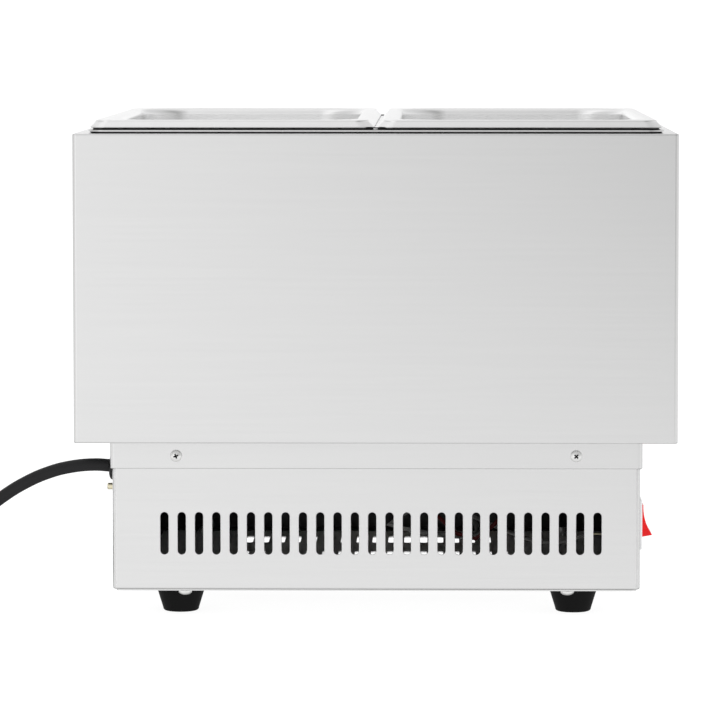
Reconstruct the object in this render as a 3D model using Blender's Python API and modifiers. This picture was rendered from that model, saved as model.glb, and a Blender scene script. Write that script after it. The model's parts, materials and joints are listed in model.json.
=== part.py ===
"""Two-pan countertop steam table (electric bain-marie), modelled as its separate parts.

Units are metres and +Z is up. The origin is on the floor under the middle of the casing.
The rear, with the vent slots, faces -Y. The front, with the thermostat knob, faces +Y.
The rocker switch is on the +X side, and the power cord leaves on the -X side.
"""

import math

import bmesh
import bpy
from mathutils import Matrix, Vector

# ---------------------------------------------------------------- driving dimensions
SHEET = 0.001            # thickness of the folded steel sheets
GAP = 0.0003             # clearance between pieces that touch
PAN_SHEET = 0.0008

CASING_X, CASING_Y = 0.1865, 0.173          # half width and half depth of the upper casing
CASING_Z0, CASING_Z1 = 0.1118, 0.3028
BASE_X, BASE_Y = 0.1645, 0.151              # half width and half depth of the base
BASE_Z0, BASE_Z1 = 0.018, 0.1115
SKIRT_GAP = 0.0004
SKIRT_Z0 = 0.0942
WELL_X, WELL_Y = 0.1682, 0.1537             # half sizes of the water tank's inner walls
WELL_FLOOR_Z = 0.127
FLANGE_X, FLANGE_Y, FLANGE_Z = 0.178, 0.1635, 0.3048

# One gastronorm 1/3 pan, 176 x 325 mm, 150 mm deep.
PAN_X, PAN_Y, PAN_DEPTH = 0.088, 0.1625, 0.150
PAN_CENTRE_X = 0.089
PAN_RIM_Z = 0.3109
PAN_LIP = 0.0042                            # width and height of the turned-down lip
PAN_LIP_EDGE = 0.0006                       # how much lower the lip's inner edge is
PAN_OPENING_X, PAN_OPENING_Y = 0.075, 0.149

SLOT_COUNT, SLOT_PITCH = 26, 0.0108
SLOT_WIDTH, SLOT_LENGTH = 0.00505, 0.0265
SLOT_CENTRE_X, SLOT_CENTRE_Z = 0.003, 0.05315
VENT_COUNT, VENT_CENTRE_X = 18, 0.0016
VENT_ROWS_Y, VENT_LENGTH = (-0.060, 0.017, 0.094), 0.0325

PLATE_X, PLATE_Y = 0.1625, 0.149            # half sizes of the bottom plate
PLATE_THICK = 0.0008
FOOT_X, FOOT_Y = 0.124, 0.116
FOOT_TOP_RADIUS, FOOT_BOTTOM_RADIUS = 0.01575, 0.01135
PLATE_SCREW_X, PLATE_SCREW_Y = 0.1195, 0.1445
SKIRT_SCREW_X, SKIRT_SCREW_Z = 0.1245, 0.1019

SWITCH_Y, SWITCH_Z = -0.105, 0.0545
SWITCH_OUT = 0.0030                         # how far the switch's bezel stands off the base
ROCKER_PIVOT_X = 0.161
ROCKER_TILT = math.radians(16)

KNOB_X, KNOB_Z = 0.0, 0.058
LAMP_X, LAMP_Z = 0.056, 0.058

CORD_RADIUS = 0.004
CORD_Y, CORD_Z = -0.130, 0.0934
EARTH_Z = 0.0803
COIL_X, COIL_Y = -0.350, -0.020
COIL_INNER, COIL_OUTER, COIL_HEIGHT = 0.0373, 0.0540, 0.0164
PLUG_Z = 0.0122

PLATE_Z1 = BASE_Z0 - GAP
PLATE_Z0 = PLATE_Z1 - PLATE_THICK
FOOT_HEIGHT = PLATE_Z0 - GAP

# The free stretch of the cord: level out of the gland, down under its own weight, then
# along the floor to the side of the coil.
CORD_ROUTE = (
    (-0.1686, CORD_Y, CORD_Z),
    (-0.1770, CORD_Y, 0.0939),
    (-0.1926, CORD_Y, 0.0924),
    (-0.2051, -0.1300, 0.0892),
    (-0.2200, -0.1297, 0.0828),
    (-0.2360, -0.1283, 0.0728),
    (-0.2515, -0.1245, 0.0600),
    (-0.2655, -0.1180, 0.0458),
    (-0.2770, -0.1080, 0.0316),
    (-0.2850, -0.0950, 0.0190),
    (-0.2895, -0.0790, 0.0098),
    (-0.2914, -0.0610, 0.0052),
    (-0.2917, -0.0430, 0.0042),
    (-0.2917, -0.0200, 0.0041),
)


# ---------------------------------------------------------------- scene and materials
def clear_scene():
    for obj in list(bpy.data.objects):
        bpy.data.objects.remove(obj, do_unlink=True)


def new_collection(name, hidden=False):
    group = bpy.data.collections.new(name)
    bpy.context.scene.collection.children.link(group)
    group.hide_render = hidden
    return group


def new_material(name, colour, roughness, metallic):
    material = bpy.data.materials.new(name)
    material.use_nodes = True
    shader = material.node_tree.nodes["Principled BSDF"]
    shader.inputs["Base Color"].default_value = (*colour, 1.0)
    shader.inputs["Roughness"].default_value = roughness
    shader.inputs["Metallic"].default_value = metallic
    material.diffuse_color = (*colour, 1.0)
    return material


clear_scene()
PARTS = new_collection("steam_table_unit")
CUTTERS = new_collection("cutters", hidden=True)

BRUSHED = new_material("brushed_steel", (0.78, 0.78, 0.77), 0.32, 1.0)
POLISHED = new_material("polished_steel", (0.82, 0.82, 0.82), 0.16, 1.0)
ZINC = new_material("zinc_plated_steel", (0.70, 0.70, 0.68), 0.35, 1.0)
ELEMENT = new_material("element_sheath", (0.30, 0.29, 0.28), 0.45, 1.0)
BRASS = new_material("brass", (0.72, 0.55, 0.25), 0.35, 1.0)
COPPER = new_material("copper", (0.75, 0.40, 0.25), 0.35, 1.0)
RUBBER = new_material("black_rubber", (0.012, 0.012, 0.012), 0.75, 0.0)
BLACK_PLASTIC = new_material("black_plastic", (0.015, 0.015, 0.015), 0.45, 0.0)
CREAM_PLASTIC = new_material("cream_plastic", (0.75, 0.72, 0.64), 0.5, 0.0)
BEZEL_PLASTIC = new_material("bezel_plastic", (0.80, 0.80, 0.80), 0.4, 0.0)
RED_PLASTIC = new_material("red_plastic", (0.72, 0.02, 0.02), 0.25, 0.0)
GREEN_LENS = new_material("green_lens", (0.05, 0.45, 0.12), 0.2, 0.0)
AMBER_LENS = new_material("amber_lens", (0.85, 0.28, 0.03), 0.2, 0.0)
SILICONE = new_material("silicone", (0.02, 0.02, 0.02), 0.6, 0.0)
RED_WIRE = new_material("red_wire", (0.55, 0.02, 0.02), 0.5, 0.0)
BLACK_WIRE = new_material("black_wire", (0.02, 0.02, 0.02), 0.5, 0.0)
SLEEVED_WIRE = new_material("glass_sleeved_wire", (0.70, 0.70, 0.68), 0.6, 0.0)
EARTH_WIRE = new_material("earth_wire", (0.25, 0.50, 0.05), 0.5, 0.0)


# ---------------------------------------------------------------- modelling helpers
def link(obj, material=None):
    """Puts an object among the parts, or among the cutters where it has no material."""
    if material is None:
        CUTTERS.objects.link(obj)
        obj.hide_render = True
        obj.display_type = "WIRE"
    else:
        PARTS.objects.link(obj)
        obj.data.materials.clear()
        obj.data.materials.append(material)
    return obj


def mesh_object(name, bm, material=None):
    mesh = bpy.data.meshes.new(name)
    bm.to_mesh(mesh)
    bm.free()
    return link(bpy.data.objects.new(name, mesh), material)


def baked(obj):
    """The mesh that an object's modifiers make, in the object's own axes. The object goes."""
    bpy.context.view_layer.update()
    evaluated = obj.evaluated_get(bpy.context.evaluated_depsgraph_get())
    mesh = bpy.data.meshes.new_from_object(evaluated)
    bpy.data.objects.remove(obj, do_unlink=True)
    return mesh


def smooth(obj, degrees=35):
    obj.data.shade_smooth()
    obj.data.set_sharp_from_angle(angle=math.radians(degrees))
    return obj


def boolean(obj, other, operation="DIFFERENCE"):
    modifier = obj.modifiers.new(operation.lower(), "BOOLEAN")
    modifier.operation = operation
    modifier.solver = "EXACT"
    modifier.object = other
    return obj


def bevel(obj, width, segments=2, degrees=40):
    modifier = obj.modifiers.new("bevel", "BEVEL")
    modifier.width = width
    modifier.segments = segments
    modifier.limit_method = "ANGLE"
    modifier.angle_limit = math.radians(degrees)
    return obj


def box(name, low, high, material=None):
    bm = bmesh.new()
    bmesh.ops.create_cube(bm, size=1.0)
    low, high = Vector(low), Vector(high)
    size = Matrix.Diagonal((*(high - low), 1.0))
    bm.transform(Matrix.Translation((low + high) / 2) @ size)
    return mesh_object(name, bm, material)


def rod(name, start, end, radius, material=None, sides=20):
    """A cylinder from one point to another."""
    start, end = Vector(start), Vector(end)
    turn = (end - start).to_track_quat("Z", "Y").to_matrix().to_4x4()
    bm = bmesh.new()
    bmesh.ops.create_cone(
        bm, cap_ends=True, segments=sides, radius1=radius, radius2=radius,
        depth=(end - start).length)
    bm.transform(Matrix.Translation((start + end) / 2) @ turn)
    return mesh_object(name, bm, material)


def turned(name, profile, material=None, sides=24, closed=False):
    """A turned shape about Z. The profile, (radius, height), runs down the outer side."""
    bm = bmesh.new()
    points = [bm.verts.new((radius, 0, height)) for radius, height in profile]
    for above, below in zip(points, points[1:]):
        bm.edges.new((above, below))
    if closed:
        bm.edges.new((points[-1], points[0]))
    obj = mesh_object(name, bm, material)
    screw = obj.modifiers.new("screw", "SCREW")
    screw.axis = "Z"
    screw.steps = screw.render_steps = sides
    screw.use_merge_vertices = True
    screw.merge_threshold = 0.00001
    return obj


def aim(obj, place, direction):
    """Stands a shape made about Z on a place, with its +Z along a direction."""
    turn = Vector(direction).to_track_quat("Z", "Y").to_matrix().to_4x4()
    obj.matrix_world = Matrix.Translation(place) @ turn
    return obj


def extruded(name, outlines, thickness, frame, material=None):
    """Flat outlines, lists of (x, y) in the plane of frame, extruded to both sides of it."""
    curve = bpy.data.curves.new(name, "CURVE")
    curve.dimensions = "2D"
    curve.fill_mode = "BOTH"
    curve.extrude = thickness / 2
    for outline in outlines:
        spline = curve.splines.new("POLY")
        spline.points.add(len(outline) - 1)
        for point, (x, y) in zip(spline.points, outline):
            point.co = (x, y, 0, 1)
        spline.use_cyclic_u = True
    guide = bpy.data.objects.new(name + "_outline", curve)
    bpy.context.scene.collection.objects.link(guide)
    bm = bmesh.new()
    bm.from_mesh(baked(guide))
    bmesh.ops.remove_doubles(bm, verts=bm.verts, dist=0.00001)
    bmesh.ops.recalc_face_normals(bm, faces=bm.faces)
    obj = mesh_object(name, bm, material)
    obj.matrix_world = frame
    return obj


def plane(place, facing):
    """The frame of a flat outline: its x and y are X and Y, X and Z, or Y and Z."""
    turns = {
        "Z": Matrix.Identity(4),
        "Y": Matrix.Rotation(math.radians(90), 4, "X"),
        "X": Matrix.Rotation(math.radians(90), 4, "Z") @ Matrix.Rotation(math.radians(90), 4, "X"),
    }
    return Matrix.Translation(place) @ turns[facing]


def arc(centre, radius, start, end, steps):
    """Points of an arc, angles in degrees."""
    angles = [math.radians(start + (end - start) * i / steps) for i in range(steps + 1)]
    return [(centre[0] + radius * math.cos(a), centre[1] + radius * math.sin(a)) for a in angles]


def circle(x, y, radius, sides=16):
    return arc((x, y), radius, 0, 360 * (sides - 1) / sides, sides - 1)


def slot(x, y, width, length, steps=5):
    """An upright slot with round ends."""
    reach = (length - width) / 2
    return (arc((x, y + reach), width / 2, 0, 180, steps)
            + arc((x, y - reach), width / 2, 180, 360, steps))


def rounded_rectangle(half_x, half_y, radius, steps=4):
    corners = ((1, 1, 0), (-1, 1, 90), (-1, -1, 180), (1, -1, 270))
    points = []
    for side_x, side_y, start in corners:
        centre = (side_x * (half_x - radius), side_y * (half_y - radius))
        points += arc(centre, radius, start, start + 90, steps)
    return points


def folded_sheet(name, levels, thickness, material, centre=(0.0, 0.0), filled=False, steps=4):
    """A sheet through rounded rectangles, one for each (half x, half y, radius, height).

    The sheet's front is on the left of the way from level to level, seen along each ring.
    It is thickened behind, and filled closes the last ring with a flat floor.
    """
    bm = bmesh.new()
    rings = []
    for half_x, half_y, radius, height in levels:
        outline = rounded_rectangle(half_x, half_y, radius, steps)
        rings.append([bm.verts.new((centre[0] + x, centre[1] + y, height)) for x, y in outline])
    for lower, upper in zip(rings, rings[1:]):
        for i in range(len(lower)):
            j = (i + 1) % len(lower)
            bm.faces.new((lower[i], lower[j], upper[j], upper[i]))
    if filled:
        bm.faces.new(rings[-1])
    sheet = mesh_object(name, bm, material)
    solidify = sheet.modifiers.new("thickness", "SOLIDIFY")
    solidify.thickness = thickness
    solidify.offset = -1
    solidify.use_even_offset = True
    return smooth(sheet, 50)


def smooth_points(route, spacing):
    """Points about spacing apart on a smooth curve through the route's own points."""
    route = [Vector(point) for point in route]
    ends = [2 * route[0] - route[1], *route, 2 * route[-1] - route[-2]]
    fine = []
    for a, b, c, d in zip(ends, ends[1:], ends[2:], ends[3:]):
        for i in range(12):
            t = i / 12
            fine.append(0.5 * (2 * b + (c - a) * t + (2 * a - 5 * b + 4 * c - d) * t**2
                               + (3 * b - a - 3 * c + d) * t**3))
    fine.append(route[-1])
    lengths = [(b - a).length for a, b in zip(fine, fine[1:])]
    count = max(2, round(sum(lengths) / spacing))
    points, travelled, i = [fine[0]], 0.0, 0
    for k in range(1, count):
        target = sum(lengths) * k / count
        while travelled + lengths[i] < target:
            travelled += lengths[i]
            i += 1
        points.append(fine[i].lerp(fine[i + 1], (target - travelled) / lengths[i]))
    return [*points, fine[-1]]


def tube(name, points, radius, material):
    """A round wire or tube through points, with closed ends."""
    curve = bpy.data.curves.new(name, "CURVE")
    curve.dimensions = "3D"
    curve.bevel_depth = radius
    curve.bevel_resolution = 2
    curve.use_fill_caps = True
    spline = curve.splines.new("POLY")
    spline.points.add(len(points) - 1)
    for point, place in zip(spline.points, points):
        point.co = (*place, 1)
    return link(bpy.data.objects.new(name, curve), material)


# ---------------------------------------------------------------- fasteners
def screw_mesh(head_radius, head_height, shank_radius, shank_length):
    """A pan-head cross-recess screw, standing on the underside of its head, head up."""
    profile = [(0, head_height)]
    profile += [(head_radius * math.sin(a), head_height * (0.25 + 0.75 * math.cos(a)))
                for a in (math.radians(d) for d in (45, 90))]
    profile += [(head_radius, 0), (shank_radius, 0), (shank_radius, -shank_length),
                (0, -shank_length)]
    blank = turned("screw_blank", profile, ZINC, sides=12)
    length, width = head_radius * 1.05, head_radius * 0.24
    low, high = head_height * 0.45, head_height * 1.2
    recess = box("recess_blade", (-length / 2, -width / 2, low), (length / 2, width / 2, high))
    blade = box("recess_cross", (-width / 2, -length / 2, low), (width / 2, length / 2, high))
    boolean(recess, blade, "UNION")
    boolean(blank, recess)
    return baked(blank)


def place_screws(mesh, places, direction):
    for name, place in places.items():
        obj = bpy.data.objects.new(name, mesh)
        link(obj, ZINC)
        aim(smooth(obj), place, direction)


def corner_names(prefix):
    """Four names with the signs of their X and Y: left is -X, rear is -Y."""
    return {f"{prefix}_{end}_{side}": (x, y)
            for end, y in (("rear", -1), ("front", 1)) for side, x in (("left", -1), ("right", 1))}


# ---------------------------------------------------------------- sheet-metal parts
def build_outer_casing():
    """Four walls, with the top and bottom edges folded in."""
    fold = 0.0015
    top_x, top_y = 0.171, 0.1565
    bottom_x, bottom_y = BASE_X + 0.0022, BASE_Y + 0.0022
    levels = [(bottom_x, bottom_y, 0.002, CASING_Z0)]
    for angle in (-90, -45, 0):
        a = math.radians(angle)
        inset = fold * (1 - math.cos(a))
        levels.append((CASING_X - inset, CASING_Y - inset, 0.0025 - inset,
                       CASING_Z0 + fold * (1 + math.sin(a))))
    for angle in (0, 45, 90):
        a = math.radians(angle)
        inset = fold * (1 - math.cos(a))
        levels.append((CASING_X - inset, CASING_Y - inset, 0.0025 - inset,
                       CASING_Z1 - fold * (1 - math.sin(a))))
    levels.append((top_x, top_y, 0.006, CASING_Z1))
    folded_sheet("outer_casing", levels, SHEET, BRUSHED, steps=3)


def build_casing_floor():
    """The frame that closes the casing from below, with the skirt that hangs over the base."""
    skirt_x, skirt_y = BASE_X + SKIRT_GAP + SHEET, BASE_Y + SKIRT_GAP + SHEET
    top = CASING_Z0 + SHEET + GAP
    levels = [
        (skirt_x, skirt_y, 0.003, SKIRT_Z0),
        (skirt_x, skirt_y, 0.003, top - 0.0005),
        (skirt_x + 0.0005, skirt_y + 0.0005, 0.003, top),
        (CASING_X - SHEET - 0.0005, CASING_Y - SHEET - 0.0005, 0.001, top),
    ]
    floor = folded_sheet("casing_floor", levels, SHEET, BRUSHED, steps=3)
    rear = [circle(x, SKIRT_SCREW_Z, 0.0023, 12) for x in (-SKIRT_SCREW_X, SKIRT_SCREW_X)]
    boolean(floor, extruded("skirt_screw_holes", rear, 0.4, plane((0, 0, 0), "Y")))
    notch_top = 0.0135
    notch = [slot(CORD_Y, CORD_Z - 0.010, 2 * 0.0100, 2 * (notch_top + 0.006), 6)]
    boolean(floor, extruded("cord_notch", notch, 0.01, plane((-skirt_x, 0, 0), "X")))


def build_base_shell():
    """The base's four walls with their openings, and narrow flanges at the top and bottom."""
    fold = 0.001
    levels = [
        (BASE_X - 0.0125, BASE_Y - 0.0125, 0.002, BASE_Z0),
        (BASE_X - fold, BASE_Y - fold, 0.002, BASE_Z0),
        (BASE_X, BASE_Y, 0.0028, BASE_Z0 + fold),
        (BASE_X, BASE_Y, 0.0028, BASE_Z1 - fold),
        (BASE_X - fold, BASE_Y - fold, 0.002, BASE_Z1),
        (BASE_X - 0.0105, BASE_Y - 0.0105, 0.002, BASE_Z1),
    ]
    shell = folded_sheet("base_shell", levels, SHEET, BRUSHED, steps=3)
    first = SLOT_CENTRE_X - SLOT_PITCH * (SLOT_COUNT - 1) / 2
    slots = [slot(first + SLOT_PITCH * i, SLOT_CENTRE_Z, SLOT_WIDTH, SLOT_LENGTH)
             for i in range(SLOT_COUNT)]
    boolean(shell, extruded("rear_slots", slots, 0.01, plane((0, -BASE_Y, 0), "Y")))
    screws = [circle(x, SKIRT_SCREW_Z, 0.0023, 12) for x in (-SKIRT_SCREW_X, SKIRT_SCREW_X)]
    boolean(shell, extruded("base_screw_holes", screws, 0.4, plane((0, 0, 0), "Y")))
    front = [circle(KNOB_X, KNOB_Z, 0.0045)]
    front += [circle(x, LAMP_Z, 0.0053) for x in (-LAMP_X, LAMP_X)]
    boolean(shell, extruded("front_holes", front, 0.01, plane((0, BASE_Y, 0), "Y")))
    left = [circle(CORD_Y, CORD_Z, 0.0063), circle(CORD_Y, EARTH_Z, 0.0025, 12)]
    boolean(shell, extruded("left_holes", left, 0.01, plane((-BASE_X, 0, 0), "X")))
    window = [[(SWITCH_Y + y, SWITCH_Z + z) for y, z in rounded_rectangle(0.0112, 0.0143, 0.0002, 1)]]
    boolean(shell, extruded("switch_window", window, 0.01, plane((BASE_X, 0, 0), "X")))
    flange = [circle(x * PLATE_SCREW_X, y * PLATE_SCREW_Y, 0.0023, 12)
              for x, y in corner_names("").values()]
    boolean(shell, extruded("flange_holes", flange, 0.006, plane((0, 0, BASE_Z0), "Z")))


def build_bottom_plate():
    outline = [rounded_rectangle(PLATE_X, PLATE_Y, 0.004, 3)]
    middle = plane((0, 0, (PLATE_Z0 + PLATE_Z1) / 2), "Z")
    plate = extruded("bottom_plate", outline, PLATE_THICK, middle, BRUSHED)
    first = VENT_CENTRE_X - SLOT_PITCH * (VENT_COUNT - 1) / 2
    holes = [slot(first + SLOT_PITCH * i, y, SLOT_WIDTH, VENT_LENGTH, 2)
             for i in range(VENT_COUNT) for y in VENT_ROWS_Y]
    for x, y in corner_names("").values():
        holes.append(circle(x * FOOT_X, y * FOOT_Y, 0.0028, 12))
        holes.append(circle(x * PLATE_SCREW_X, y * PLATE_SCREW_Y, 0.0023, 12))
    boolean(plate, extruded("plate_holes", holes, 0.004, middle))


def build_heat_shield():
    """The plate over the base that keeps the tank's heat from the wiring."""
    low = BASE_Z1 + GAP
    size = rounded_rectangle(BASE_X - 0.0001, BASE_Y - 0.0001, 0.003, 2)
    middle = plane((0, 0, low + PLATE_THICK / 2), "Z")
    shield = extruded("heat_shield", [size], PLATE_THICK, middle, BRUSHED)
    holes = [circle(x, ELEMENT_Y, 0.009) for x in ELEMENT_ENDS_X]
    holes.append(circle(0.0, 0.130, 0.003, 12))
    boolean(shield, extruded("shield_holes", holes, 0.004, middle))


def build_water_tank():
    """The deep-drawn well, hung in the casing by a flange with a raised edge for the pans."""
    ridge_x, ridge_y = WELL_X + 0.0034, WELL_Y + 0.0034
    ridge_top = PAN_RIM_Z - PAN_SHEET - GAP
    levels = [
        (FLANGE_X, FLANGE_Y, 0.010, FLANGE_Z),
        (ridge_x + 0.0003, ridge_y + 0.0003, 0.008, FLANGE_Z),
        (ridge_x, ridge_y, 0.008, ridge_top - 0.0005),
        (ridge_x - 0.0006, ridge_y - 0.0006, 0.008, ridge_top),
        (WELL_X, WELL_Y, 0.012, ridge_top),
        (WELL_X - 0.0015, WELL_Y - 0.0015, 0.018, WELL_FLOOR_Z + 0.010),
    ]
    for angle in (30, 60, 90):
        a = math.radians(angle)
        inset = 0.0015 + 0.010 * (1 - math.cos(a))
        levels.append((WELL_X - inset, WELL_Y - inset, 0.018 - 0.6 * inset,
                       WELL_FLOOR_Z + 0.010 * (1 - math.sin(a))))
    tank = folded_sheet("water_tank", levels, SHEET, POLISHED, filled=True, steps=3)
    holes = [circle(x, ELEMENT_Y, 0.0044) for x in ELEMENT_ENDS_X]
    boolean(tank, extruded("element_holes", holes, 0.006, plane((0, 0, WELL_FLOOR_Z), "Z")))
    for sign in (-1, 1):
        near, far = sorted((sign * 0.150, sign * (ridge_y + 0.0006)))
        boolean(tank, box("edge_break", (-0.0095, near, FLANGE_Z - 0.0001), (0.0095, far, 0.32)))


def build_tank_gasket():
    low, high = CASING_Z1 + GAP, FLANGE_Z - SHEET - GAP
    ring = [rounded_rectangle(FLANGE_X - 0.0012, FLANGE_Y - 0.0012, 0.009, 3),
            rounded_rectangle(0.172, 0.1575, 0.006, 3)]
    extruded("tank_gasket", ring, high - low, plane((0, 0, (low + high) / 2), "Z"), SILICONE)


def build_divider_bar():
    """The channel across the well. Its edges carry the pans' inner rims, and a tab at each
    end rests on the tank's flange where the raised edge is broken."""
    half, inner, tab = 0.0084, 0.0072, 0.0014
    low, high = FLANGE_Z + GAP, PAN_RIM_Z - PAN_SHEET - GAP
    web_top = PAN_RIM_Z - PAN_LIP - PAN_LIP_EDGE - GAP
    channel = [(-half, low), (half, low), (half, high), (inner, high), (inner, web_top),
               (-inner, web_top), (-inner, high), (-half, high)]
    bar = extruded("divider_bar", [channel], 2 * (WELL_Y - 0.0008), plane((0, 0, 0), "Y"), POLISHED)
    tab_reach, trim = FLANGE_Y - 0.0015, 0.00005
    tabs = box("divider_tabs", (-tab, -tab_reach, low + trim), (tab, tab_reach, web_top - trim))
    boolean(bar, tabs, "UNION")


def build_pan(name, side):
    """One food pan, with its axis frame on the joint that it lifts along."""
    rim = PAN_RIM_Z
    floor = rim - PAN_DEPTH
    fold, bottom = 0.004, 0.016
    levels = [
        (PAN_X, PAN_Y, 0.010, rim - PAN_LIP),
        (PAN_X - 0.0037, PAN_Y - 0.0037, 0.0085, rim - 0.0005),
        (PAN_X - PAN_LIP, PAN_Y - PAN_LIP, 0.008, rim),
    ]
    for angle in (0, 45, 90):
        a = math.radians(angle)
        inset = fold * (math.sin(a) - 1)
        levels.append((PAN_OPENING_X - inset, PAN_OPENING_Y - inset, 0.030 - inset,
                       rim - fold * (1 - math.cos(a))))
    taper = 0.003
    for angle in (0, 45, 90):
        a = math.radians(angle)
        inset = taper + bottom * (1 - math.cos(a))
        levels.append((PAN_OPENING_X - inset, PAN_OPENING_Y - inset, 0.030 - 0.55 * inset,
                       floor + bottom * (1 - math.sin(a))))
    lift = bpy.data.objects.new(name + "_lift_axis", None)
    PARTS.objects.link(lift)
    lift.location = (side * PAN_CENTRE_X, 0, 0)
    pan = folded_sheet(name, levels, PAN_SHEET, POLISHED, filled=True, steps=4)
    pan.parent = lift


# ---------------------------------------------------------------- heating parts
ELEMENT_RADIUS = 0.004
ELEMENT_ENDS_X, ELEMENT_Y = (0.020, 0.060), -0.080
ELEMENT_Z = 0.142


def build_element():
    """The sheathed heater: a loop above the tank's floor, with both ends down through it."""
    bend, far_x, far_y = 0.012, 0.135, 0.110
    left, right = ELEMENT_ENDS_X
    rise = [(1 - math.cos(a), math.sin(a)) for a in (math.radians(d) for d in (0, 30, 60, 90))]
    points = [(left, ELEMENT_Y, 0.1150)]
    points += [(left - bend * out, ELEMENT_Y, ELEMENT_Z - bend + bend * up) for out, up in rise]
    loop = arc((-far_x + 0.03, ELEMENT_Y + 0.03), 0.03, 270, 180, 5)
    loop += arc((-far_x + 0.03, far_y - 0.03), 0.03, 180, 90, 5)
    loop += arc((far_x - 0.03, far_y - 0.03), 0.03, 90, 0, 5)
    loop += arc((far_x - 0.03, ELEMENT_Y + 0.03), 0.03, 0, -90, 5)
    points += [(x, y, ELEMENT_Z) for x, y in loop]
    points += [(right + bend * out, ELEMENT_Y, ELEMENT_Z - bend + bend * up)
               for out, up in reversed(rise)]
    points.append((right, ELEMENT_Y, 0.1150))
    tube("heating_element", points, ELEMENT_RADIUS, ELEMENT)
    hole = ELEMENT_RADIUS + 0.0004
    for side, x in zip(("left", "right"), ELEMENT_ENDS_X):
        gasket = [(hole, 0.002), (0.0085, 0.002), (0.0085, 0), (hole, 0)]
        seal = turned(f"element_gasket_{side}", gasket, SILICONE, sides=20, closed=True)
        seal.location = (x, ELEMENT_Y, WELL_FLOOR_Z + GAP)
        nut = extruded(f"element_nut_{side}", [circle(x, ELEMENT_Y, 0.0092, 6),
                                               circle(x, ELEMENT_Y, hole, 16)],
                       0.005, plane((0, 0, WELL_FLOOR_Z - SHEET - GAP - 0.0025), "Z"), BRASS)
        bevel(nut, 0.0004, 1, 60)


def build_thermostat():
    rear, front = BASE_Y - 0.030, BASE_Y - SHEET - GAP
    body = box("thermostat_body", (KNOB_X - 0.018, rear, KNOB_Z - 0.014),
               (KNOB_X + 0.018, front, KNOB_Z + 0.014), CREAM_PLASTIC)
    bore = rod("shaft_bore", (KNOB_X, front - 0.010, KNOB_Z), (KNOB_X, front + 0.01, KNOB_Z), 0.0034)
    boolean(bevel(body, 0.001, 1), bore)

    plate = [(0.0045, 0.0008), (0.0330, 0.0008), (0.0330, 0), (0.0045, 0)]
    dial = turned("dial_plate", plate, BLACK_PLASTIC, sides=28, closed=True)
    aim(dial, (KNOB_X, BASE_Y + GAP, KNOB_Z), (0, 1, 0))

    axis = bpy.data.objects.new("thermostat_axis", None)
    PARTS.objects.link(axis)
    axis.location = (KNOB_X, BASE_Y, KNOB_Z)
    shaft = rod("thermostat_shaft", (0, -0.0095, 0), (0, 0.0130, 0), 0.0030, ZINC, sides=16)
    shaft.parent = axis
    back, front = 0.0016, 0.0215
    profile = [(0, front - 0.008), (0.0160, front - 0.008), (0.0175, front - 0.0095),
               (0.0195, back + 0.003), (0.0225, back + 0.0015), (0.0225, back), (0, back)]
    blank = turned("knob_blank", profile, BLACK_PLASTIC, sides=24)
    grip = box("knob_grip", (-0.0055, -0.0165, 0.006), (0.0055, 0.0165, front))
    bevel(grip, 0.0015, 2)
    boolean(blank, grip, "UNION")
    boolean(blank, rod("knob_bore", (0, 0, 0), (0, 0, 0.0134), 0.0034, sides=16))
    knob = link(bpy.data.objects.new("thermostat_knob", baked(blank)), BLACK_PLASTIC)
    knob.parent = axis
    knob.rotation_euler = (math.radians(-90), 0, 0)
    smooth(knob)

    sensor = [(0.004, 0.1320, 0.0724), (0.003, 0.1315, 0.0850), (0.0, 0.1300, 0.1000),
              (0.0, 0.1300, 0.1130), (-0.004, 0.1260, 0.1185), (-0.014, 0.1150, 0.1205),
              (-0.030, 0.1040, 0.1205), (-0.0417, 0.1000, 0.1205)]
    tube("thermostat_capillary", smooth_points(sensor, 0.007), 0.0008, COPPER)
    rod("thermostat_bulb", (-0.042, 0.100, 0.1205), (-0.122, 0.100, 0.1205), 0.0035, COPPER, 14)


def build_overheat_cutout():
    """A snap-disc limiter, held against the underside of the tank."""
    top = WELL_FLOOR_Z - SHEET - GAP
    profile = [(0, top), (0.0080, top), (0.0080, top - 0.0045), (0.0065, top - 0.0050),
               (0.0065, top - 0.0100), (0, top - 0.0100)]
    limiter = turned("overheat_cutout", profile, CREAM_PLASTIC, sides=20)
    limiter.location = (-0.060, -0.030, 0)


def build_lamps():
    for name, x, material in (("power_lamp", -LAMP_X, GREEN_LENS), ("heating_lamp", LAMP_X, AMBER_LENS)):
        profile = [(0, 0.0060), (0.0035, 0.0055), (0.0058, 0.0035), (0.0062, 0.0012),
                   (0.0070, 0.0010), (0.0070, 0), (0.0049, 0), (0.0049, -0.022), (0, -0.022)]
        lamp = turned(name, profile, material, sides=14)
        aim(smooth(lamp), (x, BASE_Y + GAP, LAMP_Z), (0, 1, 0))


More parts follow.
